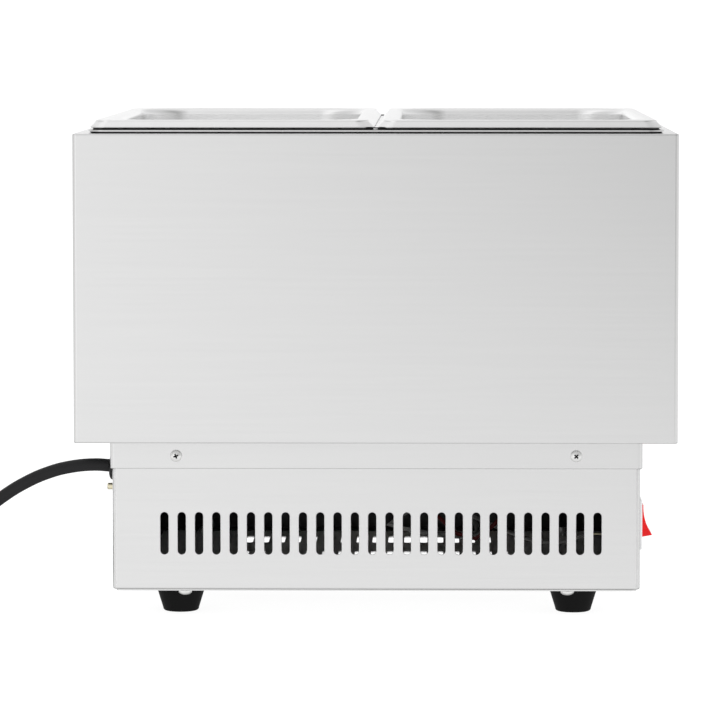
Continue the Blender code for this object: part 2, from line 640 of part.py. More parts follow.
# ---------------------------------------------------------------- switch and wiring
def build_switch():
    face = BASE_X + GAP
    out = BASE_X + SWITCH_OUT
    bezel = box("switch_housing", (face, SWITCH_Y - 0.0127, SWITCH_Z - 0.0157),
                (out, SWITCH_Y + 0.0127, SWITCH_Z + 0.0157), BEZEL_PLASTIC)
    body = box("switch_body", (0.143, SWITCH_Y - 0.0108, SWITCH_Z - 0.0139),
               (face + 0.001, SWITCH_Y + 0.0108, SWITCH_Z + 0.0139))
    well = box("switch_well", (0.152, SWITCH_Y - 0.0098, SWITCH_Z - 0.0129),
               (out + 0.01, SWITCH_Y + 0.0098, SWITCH_Z + 0.0129))
    bevel(bezel, 0.0008, 2)
    boolean(bezel, body, "UNION")
    boolean(bezel, well)

    axis = bpy.data.objects.new("rocker_axis", None)
    PARTS.objects.link(axis)
    axis.location = (ROCKER_PIVOT_X, SWITCH_Y, SWITCH_Z)
    axis.rotation_euler = (0, -ROCKER_TILT, 0)
    tip_x, tip_z, hollow = 0.0106, 0.0101, 0.0017
    # The face is an arc that dips by the hollow between its two tips.
    radius = (tip_z**2 + hollow**2) / (2 * hollow)
    spread = math.degrees(math.asin(tip_z / radius))
    centre = (tip_x - hollow + radius, 0)
    outline = arc(centre, radius, 180 + spread, 180 - spread, 8)
    outline += [(0.000, 0.0090), (-0.004, 0.0052), (-0.004, -0.0052), (0.000, -0.0090)]
    rocker = extruded("switch_rocker", [outline], 0.0188, plane((0, 0, 0), "Y"), RED_PLASTIC)
    bevel(rocker, 0.0005, 2)
    smooth(rocker)
    rocker.parent = axis
    for name, z in (("switch_terminal_upper", 0.007), ("switch_terminal_lower", -0.007)):
        box(name, (0.134, SWITCH_Y - 0.0032, SWITCH_Z + z - 0.0004),
            (0.143 - GAP, SWITCH_Y + 0.0032, SWITCH_Z + z + 0.0004), BRASS)


def build_terminal_block():
    wall = -BASE_X + SHEET + GAP
    block = box("terminal_block", (wall, -0.098, 0.078), (wall + 0.016, -0.050, 0.098), CREAM_PLASTIC)
    ways = [circle(y, 0.088, 0.0024, 10) for y in (-0.089, -0.074, -0.059)]
    boolean(bevel(block, 0.0008, 1),
            extruded("terminal_ways", ways, 0.014, plane((wall + 0.016, 0, 0), "X")))


def build_earth_terminal():
    profile = [(0, 0.0046), (0.0016, 0.0046), (0.0021, 0.0042), (0.0021, -0.0090), (0, -0.0090)]
    stud = turned("earth_stud", profile, BRASS, sides=14)
    aim(stud, (-BASE_X, CORD_Y, EARTH_Z), (-1, 0, 0))
    nut = extruded("earth_nut", [circle(CORD_Y, EARTH_Z, 0.0040, 6), circle(CORD_Y, EARTH_Z, 0.0024, 12)],
                   0.003, plane((-BASE_X + SHEET + GAP + 0.0015, 0, 0), "X"), BRASS)
    bevel(nut, 0.0003, 1, 60)


def build_wires():
    """The leads inside the base. Each ends just clear of what it is fastened to."""
    wires = {
        "live_wire": (RED_WIRE, 0.0013, (
            (-0.1400, -0.0740, 0.0880), (-0.1200, -0.0780, 0.0860), (-0.0800, -0.1050, 0.0780),
            (-0.0300, -0.1280, 0.0760), (0.0200, -0.1320, 0.0720), (0.0450, -0.1300, 0.0560),
            (0.0550, -0.1270, 0.0460), (0.0680, -0.1250, 0.0500), (0.0850, -0.1220, 0.0660),
            (0.1100, -0.1120, 0.0720), (0.1270, -0.1060, 0.0640), (0.1335, -0.1050, 0.0615))),
        "neutral_wire": (BLACK_WIRE, 0.0013, (
            (-0.1400, -0.0590, 0.0880), (-0.1100, -0.0500, 0.0860), (-0.0600, -0.0420, 0.0800),
            (-0.0100, -0.0600, 0.0820), (0.0120, -0.0760, 0.0950), (0.0200, -0.0800, 0.1140))),
        "element_wire": (SLEEVED_WIRE, 0.0015, (
            (0.0600, -0.0800, 0.1140), (0.0600, -0.0820, 0.1000), (0.0500, -0.0900, 0.0800),
            (0.0200, -0.1100, 0.0620), (0.0050, -0.1150, 0.0560), (0.0250, -0.1150, 0.0500),
            (0.0600, -0.0600, 0.0400), (0.0600, 0.0300, 0.0420), (0.0300, 0.0950, 0.0520),
            (0.0110, 0.1130, 0.0560), (0.0100, 0.1200, 0.0560))),
        "switch_wire": (SLEEVED_WIRE, 0.0013, (
            (0.1335, -0.1050, 0.0475), (0.1200, -0.1040, 0.0420), (0.0950, -0.0700, 0.0400),
            (0.0450, 0.0400, 0.0480), (0.0050, 0.0950, 0.0600),
            (-0.0070, 0.1130, 0.0620), (-0.0080, 0.1200, 0.0620))),
        "earth_wire": (EARTH_WIRE, 0.0013, (
            (-0.1550, -0.1300, 0.0803), (-0.1420, -0.1290, 0.0790), (-0.1260, -0.1120, 0.0780),
            (-0.1240, -0.0960, 0.0830), (-0.1400, -0.0890, 0.0880))),
    }
    for name, (material, radius, route) in wires.items():
        tube(name, smooth_points(route, 0.014), radius, material)


def build_cord():
    """The gland, the free stretch, the coil of the rest, the tail and the plug."""
    profile = [(0, 0.0030), (0.0058, 0.0030), (0.0080, 0.0022), (0.0090, 0.0010), (0.0090, 0),
               (0.0060, 0), (0.0060, -0.010), (0.0052, -0.020), (0, -0.020)]
    gland = turned("cord_gland", profile, BLACK_PLASTIC, sides=18)
    aim(smooth(gland), (-BASE_X - GAP, CORD_Y, CORD_Z), (-1, 0, 0))
    route = [(-BASE_X - 2 * GAP - 0.0030, CORD_Y, CORD_Z), *CORD_ROUTE[1:]]
    cord = smooth_points(route, 0.009)
    tube("power_cord", cord, CORD_RADIUS, BLACK_PLASTIC)

    soft = 0.004
    section = arc((COIL_OUTER - soft, COIL_HEIGHT - soft), soft, 90, 0, 2)
    section += arc((COIL_OUTER - soft, soft), soft, 0, -90, 2)
    section += arc((COIL_INNER + soft, soft), soft, 270, 180, 2)
    section += arc((COIL_INNER + soft, COIL_HEIGHT - soft), soft, 180, 90, 2)
    coil = turned("cord_coil", section, BLACK_PLASTIC, sides=28, closed=True)
    coil.location = (COIL_X, COIL_Y, 0)
    smooth(coil)

    tail_x = COIL_X - COIL_OUTER - CORD_RADIUS - GAP
    tail = [(tail_x, COIL_Y + 0.004 - 0.008 * i, PLUG_Z) for i in range(5)]
    tube("cord_tail", tail, CORD_RADIUS, BLACK_PLASTIC)
    build_plug(tail_x, tail[-1][1] - GAP)


def build_plug(x, start_y):
    """A moulded three-pin plug that lies on the floor and points along -Y."""
    relief, body, pins = 0.026, 0.036, 0.0180
    profile = [(0, 0), (0.0052, 0), (0.0078, -relief), (0.0078, -relief - 0.004), (0, -relief - 0.004)]
    sleeve = turned("plug_sleeve", profile, sides=20)
    aim(sleeve, (x, start_y, PLUG_Z), (0, 1, 0))
    back = start_y - relief
    front = back - body
    plug = box("plug_body", (x - 0.0135, front, PLUG_Z - 0.0119), (x + 0.0135, back, PLUG_Z + 0.0119),
               BLACK_PLASTIC)
    bevel(plug, 0.004, 3)
    boolean(plug, sleeve, "UNION")
    smooth(plug)
    for name, dx in (("plug_blade_left", -0.00635), ("plug_blade_right", 0.00635)):
        blade = box(name, (x + dx - 0.00075, front - GAP - pins, PLUG_Z + 0.0010),
                    (x + dx + 0.00075, front - GAP, PLUG_Z + 0.00735), BRASS)
        bevel(blade, 0.0003, 1)
    tip = 0.0015
    pin = [(0, 0), (0.0024, 0), (0.0024, -pins - 0.003 + tip), (0.0012, -pins - 0.003), (0, -pins - 0.003)]
    earth = turned("plug_earth_pin", pin, BRASS, sides=14)
    aim(smooth(earth), (x, front - GAP, PLUG_Z - 0.0075), (0, 1, 0))


# ---------------------------------------------------------------- feet and fasteners
def build_feet():
    round_edge = 0.0015
    recess, hole = 0.0060, 0.0028
    recess_top = 0.0062
    outer = arc((FOOT_BOTTOM_RADIUS - round_edge, round_edge), round_edge, 0, -90, 2)
    profile = [(hole, FOOT_HEIGHT), (FOOT_TOP_RADIUS, FOOT_HEIGHT), *outer,
               (recess, 0), (recess, recess_top), (hole, recess_top)]
    template = turned("foot_template", profile, RUBBER, sides=20, closed=True)
    mesh = baked(template)
    for name, (x, y) in corner_names("foot").items():
        foot = link(bpy.data.objects.new(name, mesh), RUBBER)
        foot.location = (x * FOOT_X, y * FOOT_Y, 0)
        smooth(foot)
    mesh = screw_mesh(0.0050, 0.0030, 0.0025, 0.0175)
    place_screws(mesh, {name: (x * FOOT_X, y * FOOT_Y, recess_top - GAP)
                        for name, (x, y) in corner_names("foot_screw").items()}, (0, 0, -1))


def build_screws():
    plate_mesh = screw_mesh(0.0042, 0.0030, 0.0020, 0.0090)
    place_screws(plate_mesh, {name: (x * PLATE_SCREW_X, y * PLATE_SCREW_Y, PLATE_Z0 - GAP)
                              for name, (x, y) in corner_names("plate_screw").items()}, (0, 0, -1))
    skirt_mesh = screw_mesh(0.00365, 0.0024, 0.0020, 0.0100)
    seat = BASE_Y + SKIRT_GAP + SHEET + GAP
    for name, (x, y) in corner_names("skirt_screw").items():
        place_screws(skirt_mesh, {name: (x * SKIRT_SCREW_X, y * seat, SKIRT_SCREW_Z)}, (0, y, 0))


def main():
    build_outer_casing()
    build_casing_floor()
    build_base_shell()
    build_bottom_plate()
    build_heat_shield()
    build_water_tank()
    build_tank_gasket()
    build_divider_bar()
    build_pan("pan_left", -1)
    build_pan("pan_right", 1)
    build_element()
    build_thermostat()
    build_overheat_cutout()
    build_lamps()
    build_switch()
    build_terminal_block()
    build_earth_terminal()
    build_wires()
    build_cord()
    build_feet()
    build_screws()


main()
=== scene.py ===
"""The finished look of the two-pan steam table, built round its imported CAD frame.

Units are metres and +Z is up, in the frame's own axes. The rear, with the vent slots,
faces -Y, the front, with the thermostat knob, faces +Y, and the cord leaves on the -X side.
A piece that stands for a CAD node carries the node's name with _fine after it.
"""

import json
import math

import bmesh
import bpy
from mathutils import Matrix, Vector


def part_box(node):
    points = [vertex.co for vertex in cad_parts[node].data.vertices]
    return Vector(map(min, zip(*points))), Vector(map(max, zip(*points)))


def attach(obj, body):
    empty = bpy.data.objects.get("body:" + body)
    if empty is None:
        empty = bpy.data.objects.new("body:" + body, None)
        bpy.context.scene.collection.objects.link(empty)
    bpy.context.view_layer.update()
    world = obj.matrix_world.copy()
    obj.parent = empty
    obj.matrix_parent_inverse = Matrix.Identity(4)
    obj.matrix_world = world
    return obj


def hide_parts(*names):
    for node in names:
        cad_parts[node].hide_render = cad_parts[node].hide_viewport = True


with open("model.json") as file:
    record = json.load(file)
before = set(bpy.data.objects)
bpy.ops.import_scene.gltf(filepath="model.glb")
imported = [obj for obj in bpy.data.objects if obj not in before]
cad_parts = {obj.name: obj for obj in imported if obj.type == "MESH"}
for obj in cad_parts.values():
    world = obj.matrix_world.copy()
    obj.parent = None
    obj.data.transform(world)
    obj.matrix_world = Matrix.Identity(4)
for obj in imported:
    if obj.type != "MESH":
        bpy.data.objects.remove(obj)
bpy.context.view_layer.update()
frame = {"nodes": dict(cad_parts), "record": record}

UNIT = "unit"
SHEET = 0.001
PAN_SHEET = 0.0008
CAD_EDGE, FINE_EDGE = 40, 35    # shading is smooth across edges less sharp than this, in degrees


# ---------------------------------------- modelling helpers
def new_object(name, data):
    obj = bpy.data.objects.new(name, data)
    bpy.context.scene.collection.objects.link(obj)
    return obj


def mesh_object(name, bm):
    mesh = bpy.data.meshes.new(name)
    bm.to_mesh(mesh)
    bm.free()
    return new_object(name, mesh)


def bake(obj):
    """Turns an object, with its modifiers, into a plain mesh object of the same name."""
    bpy.context.view_layer.update()
    evaluated = obj.evaluated_get(bpy.context.evaluated_depsgraph_get())
    mesh = bpy.data.meshes.new_from_object(evaluated)
    name, place = obj.name, obj.matrix_world.copy()
    bpy.data.objects.remove(obj, do_unlink=True)
    plain = new_object(name, mesh)
    plain.matrix_world = place
    return plain


def combine(obj, other, operation="DIFFERENCE"):
    """Cuts the other object from this one, or joins it on. The other one goes."""
    modifier = obj.modifiers.new("boolean", "BOOLEAN")
    modifier.operation = operation
    modifier.solver = "EXACT"
    modifier.object = other
    plain = bake(obj)
    bpy.data.objects.remove(other, do_unlink=True)
    return plain


def bevel(obj, width, segments=3, degrees=40):
    modifier = obj.modifiers.new("bevel", "BEVEL")
    modifier.width = width
    modifier.segments = segments
    modifier.limit_method = "ANGLE"
    modifier.angle_limit = math.radians(degrees)
    return bake(obj)


def box(name, low, high):
    bm = bmesh.new()
    bmesh.ops.create_cube(bm, size=1.0)
    low, high = Vector(low), Vector(high)
    size = Matrix.Diagonal((*(high - low), 1.0))
    bm.transform(Matrix.Translation((low + high) / 2) @ size)
    return mesh_object(name, bm)


def turned(name, profile, sides=48, closed=False):
    """A turned shape about Z. The profile, (radius, height), runs down the outer side."""
    bm = bmesh.new()
    points = [bm.verts.new((radius, 0, height)) for radius, height in profile]
    for above, below in zip(points, points[1:]):
        bm.edges.new((above, below))
    if closed:
        bm.edges.new((points[-1], points[0]))
    obj = mesh_object(name, bm)
    screw = obj.modifiers.new("screw", "SCREW")
    screw.axis = "Z"
    screw.steps = screw.render_steps = sides
    screw.use_merge_vertices = True
    screw.merge_threshold = 0.00001
    return bake(obj)


def aim(obj, place, direction, roll=0.0):
    """Stands a shape made about Z on a place, with its +Z along a direction."""
    turn = Vector(direction).to_track_quat("Z", "Y").to_matrix().to_4x4()
    obj.matrix_world = Matrix.Translation(place) @ turn @ Matrix.Rotation(roll, 4, "Z")
    return obj


def plane(place, facing):
    """The frame of a flat outline: its x and y are X and Y, X and Z, or Y and Z."""
    turns = {
        "Z": Matrix.Identity(4),
        "Y": Matrix.Rotation(math.radians(90), 4, "X"),
        "X": Matrix.Rotation(math.radians(90), 4, "Z") @ Matrix.Rotation(math.radians(90), 4, "X"),
    }
    return Matrix.Translation(place) @ turns[facing]


def extruded(name, outlines, thickness, place):
    """Flat outlines, lists of (x, y) in the plane of place, extruded to both sides of it."""
    curve = bpy.data.curves.new(name, "CURVE")
    curve.dimensions = "2D"
    curve.fill_mode = "BOTH"
    curve.extrude = thickness / 2
    for outline in outlines:
        spline = curve.splines.new("POLY")
        spline.points.add(len(outline) - 1)
        for point, (x, y) in zip(spline.points, outline):
            point.co = (x, y, 0, 1)
        spline.use_cyclic_u = True
    guide = new_object(name, curve)
    guide.matrix_world = place
    solid = bake(guide)
    bm = bmesh.new()
    bm.from_mesh(solid.data)
    bmesh.ops.remove_doubles(bm, verts=bm.verts, dist=0.00001)
    bmesh.ops.recalc_face_normals(bm, faces=bm.faces)
    bm.to_mesh(solid.data)
    bm.free()
    return solid


def arc(centre, radius, start, end, steps):
    """Points of an arc, angles in degrees."""
    angles = [math.radians(start + (end - start) * i / steps) for i in range(steps + 1)]
    return [(centre[0] + radius * math.cos(a), centre[1] + radius * math.sin(a)) for a in angles]


def angles(step, count):
    """A count of angles in radians, from 0 on and a step of degrees apart."""
    return [math.radians(step * i) for i in range(count)]


def circle(x, y, radius, sides=32):
    return arc((x, y), radius, 0, 360 * (sides - 1) / sides, sides - 1)


def slot(x, y, width, length, steps=10):
    """An upright slot with round ends."""
    reach = (length - width) / 2
    return (arc((x, y + reach), width / 2, 0, 180, steps)
            + arc((x, y - reach), width / 2, 180, 360, steps))


def rounded_rectangle(half_x, half_y, radius, steps=8):
    corners = ((1, 1, 0), (-1, 1, 90), (-1, -1, 180), (1, -1, 270))
    points = []
    for side_x, side_y, start in corners:
        centre = (side_x * (half_x - radius), side_y * (half_y - radius))
        points += arc(centre, radius, start, start + 90, steps)
    return points


def folded_sheet(name, levels, thickness, centre=(0.0, 0.0), filled=False, steps=8):
    """A sheet through rounded rectangles, one for each (half x, half y, radius, height).

    The sheet's front is on the left of the way from level to level, seen along each ring.
    It is thickened behind, and filled closes the last ring with a flat floor.
    """
    bm = bmesh.new()
    rings = []
    for half_x, half_y, radius, height in levels:
        outline = rounded_rectangle(half_x, half_y, radius, steps)
        rings.append([bm.verts.new((centre[0] + x, centre[1] + y, height)) for x, y in outline])
    for lower, upper in zip(rings, rings[1:]):
        for i in range(len(lower)):
            j = (i + 1) % len(lower)
            bm.faces.new((lower[i], lower[j], upper[j], upper[i]))
    if filled:
        bm.faces.new(rings[-1])
    sheet = mesh_object(name, bm)
    solidify = sheet.modifiers.new("thickness", "SOLIDIFY")
    solidify.thickness = thickness
    solidify.offset = -1
    solidify.use_even_offset = True
    return bake(sheet)


def centre_of(node):
    """The middle of a CAD node's box."""
    low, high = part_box(node)
    return (low + high) / 2


def corner_signs():
    """The signs of X and Y at the four corners by name: left is -X, rear is -Y."""
    return {f"{end}_{side}": (x, y)
            for end, y in (("rear", -1), ("front", 1)) for side, x in (("left", -1), ("right", 1))}


def paint(obj, material, degrees):
    """Gives a piece its one material, and smooth shading across edges below this angle."""
    obj.data.materials.clear()
    obj.data.materials.append(material)
    obj.data.shade_smooth()
    obj.data.set_sharp_from_angle(angle=math.radians(degrees))
    normals = obj.modifiers.new("even_normals", "WEIGHTED_NORMAL")
    normals.keep_sharp = True


def finished(obj, material, body=UNIT, nodes=()):
    """Paints a piece and lets it ride on a body, in place of its CAD nodes, if any."""
    paint(obj, material, FINE_EDGE)
    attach(obj, body)
    if nodes:
        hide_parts(*nodes)
    return obj


# ---------------------------------------- camera
CAMERA_BACK = 2.510             # from the casing's rear face
CAMERA_X, CAMERA_Z = 0.0413, 0.3775
CAMERA_YAW, CAMERA_PITCH = -0.0114, -0.0762
CAMERA_LENS = 204.5
CAMERA_SHIFT = -0.05


def add_camera():
    """Looks at the rear from a little above the pans and a little right of the middle."""
    data = bpy.data.cameras.new("camera")
    data.lens = CAMERA_LENS
    data.sensor_width = 36.0
    data.shift_x = data.shift_y = CAMERA_SHIFT
    camera = new_object("camera", data)
    camera.location = (CAMERA_X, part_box("outer_casing")[0].y - CAMERA_BACK, CAMERA_Z)
    gaze = Vector((math.tan(CAMERA_YAW), 1.0, math.tan(CAMERA_PITCH) / math.cos(CAMERA_YAW)))
    camera.rotation_euler = gaze.to_track_quat("-Z", "Y").to_euler()
    bpy.context.scene.camera = camera


add_camera()


# ---------------------------------------- procedural materials
def new_material(name, colour, roughness, metallic=0.0):
    """A material with one Principled shader. Returns it with its tree and its shader."""
    material = bpy.data.materials.new(name)
    material.use_nodes = True
    shader = material.node_tree.nodes["Principled BSDF"]
    shader.inputs["Base Color"].default_value = (*colour, 1.0)
    shader.inputs["Roughness"].default_value = roughness
    shader.inputs["Metallic"].default_value = metallic
    return material, material.node_tree, shader


def noise(tree, scale, stretch=(1, 1, 1), detail=3.0):
    """Noise in the object's own metres. A small stretch draws it out along that axis."""
    place = tree.nodes.new("ShaderNodeTexCoord")
    mapping = tree.nodes.new("ShaderNodeMapping")
    mapping.inputs["Scale"].default_value = stretch
    texture = tree.nodes.new("ShaderNodeTexNoise")
    texture.inputs["Scale"].default_value = scale
    texture.inputs["Detail"].default_value = detail
    tree.links.new(place.outputs["Object"], mapping.inputs["Vector"])
    tree.links.new(mapping.outputs["Vector"], texture.inputs["Vector"])
    return texture.outputs["Fac"]


def ranged(tree, value, low, high):
    """The noise, which lies mostly from 0.3 to 0.7, brought to the range from low to high."""
    node = tree.nodes.new("ShaderNodeMapRange")
    node.inputs["From Min"].default_value = 0.3
    node.inputs["From Max"].default_value = 0.7
    node.inputs["To Min"].default_value = low
    node.inputs["To Max"].default_value = high
    tree.links.new(value, node.inputs["Value"])
    return node.outputs["Result"]


def vary_colour(tree, shader, value, dark, light):
    mix = tree.nodes.new("ShaderNodeMix")
    mix.data_type = "RGBA"
    mix.inputs["A"].default_value = (*dark, 1.0)
    mix.inputs["B"].default_value = (*light, 1.0)
    tree.links.new(ranged(tree, value, 0.0, 1.0), mix.inputs["Factor"])
    tree.links.new(mix.outputs["Result"], shader.inputs["Base Color"])


def vary_roughness(tree, shader, value, low, high):
    tree.links.new(ranged(tree, value, low, high), shader.inputs["Roughness"])


def add_bump(tree, shader, value, height):
    """Raises the surface by up to height metres where the value is high."""
    node = tree.nodes.new("ShaderNodeBump")
    node.inputs["Strength"].default_value = 1.0
    node.inputs["Distance"].default_value = height
    tree.links.new(value, node.inputs["Height"])
    tree.links.new(node.outputs["Normal"], shader.inputs["Normal"])


GRAIN_HEIGHT = 0.00000012       # metres, like every bump below


def brushed_steel(name, tone, roughness):
    """Sheet steel with a level brushed grain: fine lines, and broader faint streaks."""
    material, tree, shader = new_material(name, (tone, tone, tone), roughness, 1.0)
    lines = noise(tree, 1900, (0.012, 0.012, 1.0), 2.0)
    streaks = noise(tree, 420, (0.02, 0.02, 1.0), 4.0)
    shader.inputs["Anisotropic"].default_value = 0.55
    shader.inputs["Anisotropic Rotation"].default_value = 0.25
    tangent = tree.nodes.new("ShaderNodeTangent")
    tangent.direction_type = "RADIAL"
    tangent.axis = "Z"
    tree.links.new(tangent.outputs["Tangent"], shader.inputs["Tangent"])
    bright = tone + 0.006
    vary_colour(tree, shader, streaks, (tone - 0.006,) * 3, (bright, bright, bright - 0.001))
    vary_roughness(tree, shader, lines, roughness - 0.012, roughness + 0.012)
    add_bump(tree, shader, lines, GRAIN_HEIGHT)
    return material


def drawn_steel(name, tone, roughness):
    """Bright deep-drawn sheet: nearly a mirror, with faint waves and a haze of scuffs."""
    material, tree, shader = new_material(name, (tone, tone, tone), roughness, 1.0)
    scuffs = noise(tree, 70, detail=6.0)
    waves = noise(tree, 22, detail=1.0)
    vary_colour(tree, shader, scuffs, (tone - 0.012,) * 3, (tone + 0.012,) * 3)
    vary_roughness(tree, shader, scuffs, roughness - 0.015, roughness + 0.025)
    add_bump(tree, shader, waves, 0.000018)
    return material


def plated_metal(name, colour, roughness, metallic=1.0):
    """Small plated or bare metal parts, with dulled patches and fine pitting."""
    material, tree, shader = new_material(name, colour, roughness, metallic)
    patches = noise(tree, 260, detail=5.0)
    dull = tuple(0.86 * part for part in colour)
    vary_colour(tree, shader, patches, dull, colour)
    vary_roughness(tree, shader, patches, roughness - 0.06, roughness + 0.12)
    add_bump(tree, shader, noise(tree, 1400), 0.00001)
    return material


def moulded(name, colour, roughness, texture=0.00002, shine=0.5):
    """Moulded plastic or rubber, with a fine spark-eroded texture and handling marks."""
    material, tree, shader = new_material(name, colour, roughness)
    shader.inputs["Specular IOR Level"].default_value = shine
    marks = noise(tree, 90, detail=5.0)
    worn = tuple(min(1.0, 1.12 * part + 0.002) for part in colour)
    vary_colour(tree, shader, marks, colour, worn)
    vary_roughness(tree, shader, marks, roughness - 0.06, roughness + 0.08)
    add_bump(tree, shader, noise(tree, 2200, detail=2.0), texture)
    return material


def lens(name, colour, glow):
    """Coloured translucent plastic, such as a lamp's cap."""
    material, tree, shader = new_material(name, colour, 0.16)
    shader.inputs["Subsurface Weight"].default_value = 0.35
    shader.inputs["Subsurface Scale"].default_value = 0.002
    shader.inputs["Emission Color"].default_value = (*colour, 1.0)
    shader.inputs["Emission Strength"].default_value = glow
    haze = noise(tree, 300)
    vary_roughness(tree, shader, haze, 0.12, 0.24)
    vary_colour(tree, shader, haze, tuple(0.9 * part for part in colour), colour)
    add_bump(tree, shader, noise(tree, 900), 0.000008)
    return material


def woven_sleeve(name, colour):
    """Glass-fibre sleeving: a fine crossing braid."""
    material, tree, shader = new_material(name, colour, 0.6)
    place = tree.nodes.new("ShaderNodeTexCoord")
    braid = tree.nodes.new("ShaderNodeTexVoronoi")
    braid.inputs["Scale"].default_value = 1800
    tree.links.new(place.outputs["Object"], braid.inputs["Vector"])
    vary_colour(tree, shader, braid.outputs["Distance"], tuple(0.7 * part for part in colour), colour)
    vary_roughness(tree, shader, noise(tree, 400), 0.5, 0.7)
    add_bump(tree, shader, braid.outputs["Distance"], 0.0001)
    return material


CASING_STEEL = brushed_steel("casing_steel", 0.78, 0.24)
PAN_STEEL = drawn_steel("pan_steel", 0.975, 0.24)
TANK_STEEL = drawn_steel("tank_steel", 0.66, 0.26)
ZINC = plated_metal("zinc_plate", (0.94, 0.94, 0.93), 0.26)
# Painted shade: a near-black metal for the faces inside the base and the skirt, where shadow falls.
INNER_SHADE_STEEL = plated_metal("painted_inner_shade", (0.10, 0.10, 0.102), 0.50)
PLATE_STEEL = plated_metal("bottom_plate_finish", (0.92, 0.92, 0.91), 0.55, 0.1)
# Painted highlight: a near-white metal on the slots' bevelled edges, which draws a bright outline round
# each slot.
SLOT_EDGE_HIGHLIGHT = plated_metal("painted_slot_highlight", (0.97, 0.97, 0.97), 0.60)
# Painted shade: a near-black metal for the insides of the screws' cross recesses.
RECESS_SHADE = plated_metal("painted_recess_shade", (0.035, 0.035, 0.035), 0.50)
SHEATH = plated_metal("heated_sheath", (0.28, 0.27, 0.26), 0.42)
BRASS = plated_metal("plain_brass", (0.94, 0.87, 0.64), 0.28)
COPPER = plated_metal("plain_copper", (0.76, 0.42, 0.27), 0.32)
RUBBER = moulded("foot_rubber", (0.003, 0.003, 0.003), 0.55, 0.00003, 0.10)
PLASTIC = moulded("black_moulding", (0.009, 0.009, 0.010), 0.38, shine=0.3)
CORD_JACKET = moulded("cord_jacket", (0.008, 0.008, 0.009), 0.45, 0.00001, 0.25)
CREAM = moulded("cream_moulding", (0.74, 0.71, 0.62), 0.50)
BEZEL = moulded("bezel_moulding", (0.82, 0.82, 0.83), 0.32)
RED = moulded("rocker_red", (0.80, 0.004, 0.005), 0.26, 0.000004, 0.25)
WHITE_PRINT = moulded("white_print", (0.85, 0.85, 0.84), 0.5)
SILICONE = moulded("seal_rubber", (0.005, 0.005, 0.005), 0.6, shine=0.1)
GREEN_LENS = lens("green_cap", (0.03, 0.42, 0.10), 0.05)
AMBER_LENS = lens("amber_cap", (0.85, 0.25, 0.02), 0.05)
RED_WIRE = moulded("red_insulation", (0.07, 0.004, 0.004), 0.45, shine=0.2)
BLACK_WIRE = moulded("black_insulation", (0.02, 0.02, 0.02), 0.45)
EARTH_WIRE = moulded("earth_insulation", (0.07, 0.16, 0.02), 0.45, shine=0.2)
SLEEVE = woven_sleeve("sleeved_insulation", (0.34, 0.34, 0.33))

SLOT_MATERIALS = {
    "brushed_steel": CASING_STEEL,
    "polished_steel": TANK_STEEL,
    "zinc_plated_steel": ZINC,
    "element_sheath": SHEATH,
    "brass": BRASS,
    "copper": COPPER,
    "black_rubber": RUBBER,
    "black_plastic": PLASTIC,
    "cream_plastic": CREAM,
    "bezel_plastic": BEZEL,
    "red_plastic": RED,
    "green_lens": GREEN_LENS,
    "amber_lens": AMBER_LENS,
    "silicone": SILICONE,
    "red_wire": RED_WIRE,
    "black_wire": BLACK_WIRE,
    "glass_sleeved_wire": SLEEVE,
    "earth_wire": EARTH_WIRE,
}
MATERIAL_SLOT = {part["node"]: part["material_slot"] for part in frame["record"]["subparts"]}

for node_name, cad_node in frame["nodes"].items():
    paint(cad_node, SLOT_MATERIALS[MATERIAL_SLOT[node_name]], CAD_EDGE)


# ---------------------------------------- cord, coil and plug
CORD_DIAMETER = 0.008

# The free stretch, as the CAD's route has it: level out of the gland, down under its own
# weight, then along the floor to the side of the coil.
CORD_ROUTE = (
    (-0.1680, -0.1300, 0.0934),
    (-0.1770, -0.1300, 0.0939),
    (-0.1926, -0.1300, 0.0924),
    (-0.2051, -0.1300, 0.0892),
    (-0.2200, -0.1297, 0.0828),
    (-0.2360, -0.1283, 0.0728),
    (-0.2515, -0.1245, 0.0600),
    (-0.2655, -0.1180, 0.0458),
    (-0.2770, -0.1080, 0.0316),
    (-0.2850, -0.0950, 0.0190),
    (-0.2895, -0.0790, 0.0098),
    (-0.2914, -0.0610, 0.0052),
    (-0.2917, -0.0430, 0.0042),
)

# The coil's turns: the angle in degrees, anticlockwise from above, with the cord's distance
# from the coil's middle and its height there. The first ones lie on the floor, an outer and
# an inner one, and the later ones on them.
COIL_TURNS = (
    (0, 0.0583, 0.0042),
    (100, 0.0497, 0.0045),
    (360, 0.0497, 0.0045),
    (460, 0.0415, 0.0045),
    (600, 0.0415, 0.0045),
    (720, 0.0415, 0.0127),
    (880, 0.0415, 0.0127),
    (980, 0.0497, 0.0127),
    (1200, 0.0497, 0.0127),
    (1260, 0.0583, 0.0122),
)
COIL_STEP = 20
TIE_ANGLE = 105


def coil_points(centre):
    """The cord's path round the coil, easing from each entry of COIL_TURNS to the next."""
    points = []
    for (start, radius_a, height_a), (end, radius_b, height_b) in zip(COIL_TURNS, COIL_TURNS[1:]):
        count = (end - start) // COIL_STEP
        for i in range(count):
            t = i / count
            ease = t * t * (3 - 2 * t)
            radius = radius_a + (radius_b - radius_a) * ease
            angle = math.radians(start + (end - start) * t)
            x, y = centre.x + radius * math.cos(angle), centre.y + radius * math.sin(angle)
            points.append((x, y, height_a + (height_b - height_a) * ease))
    return points


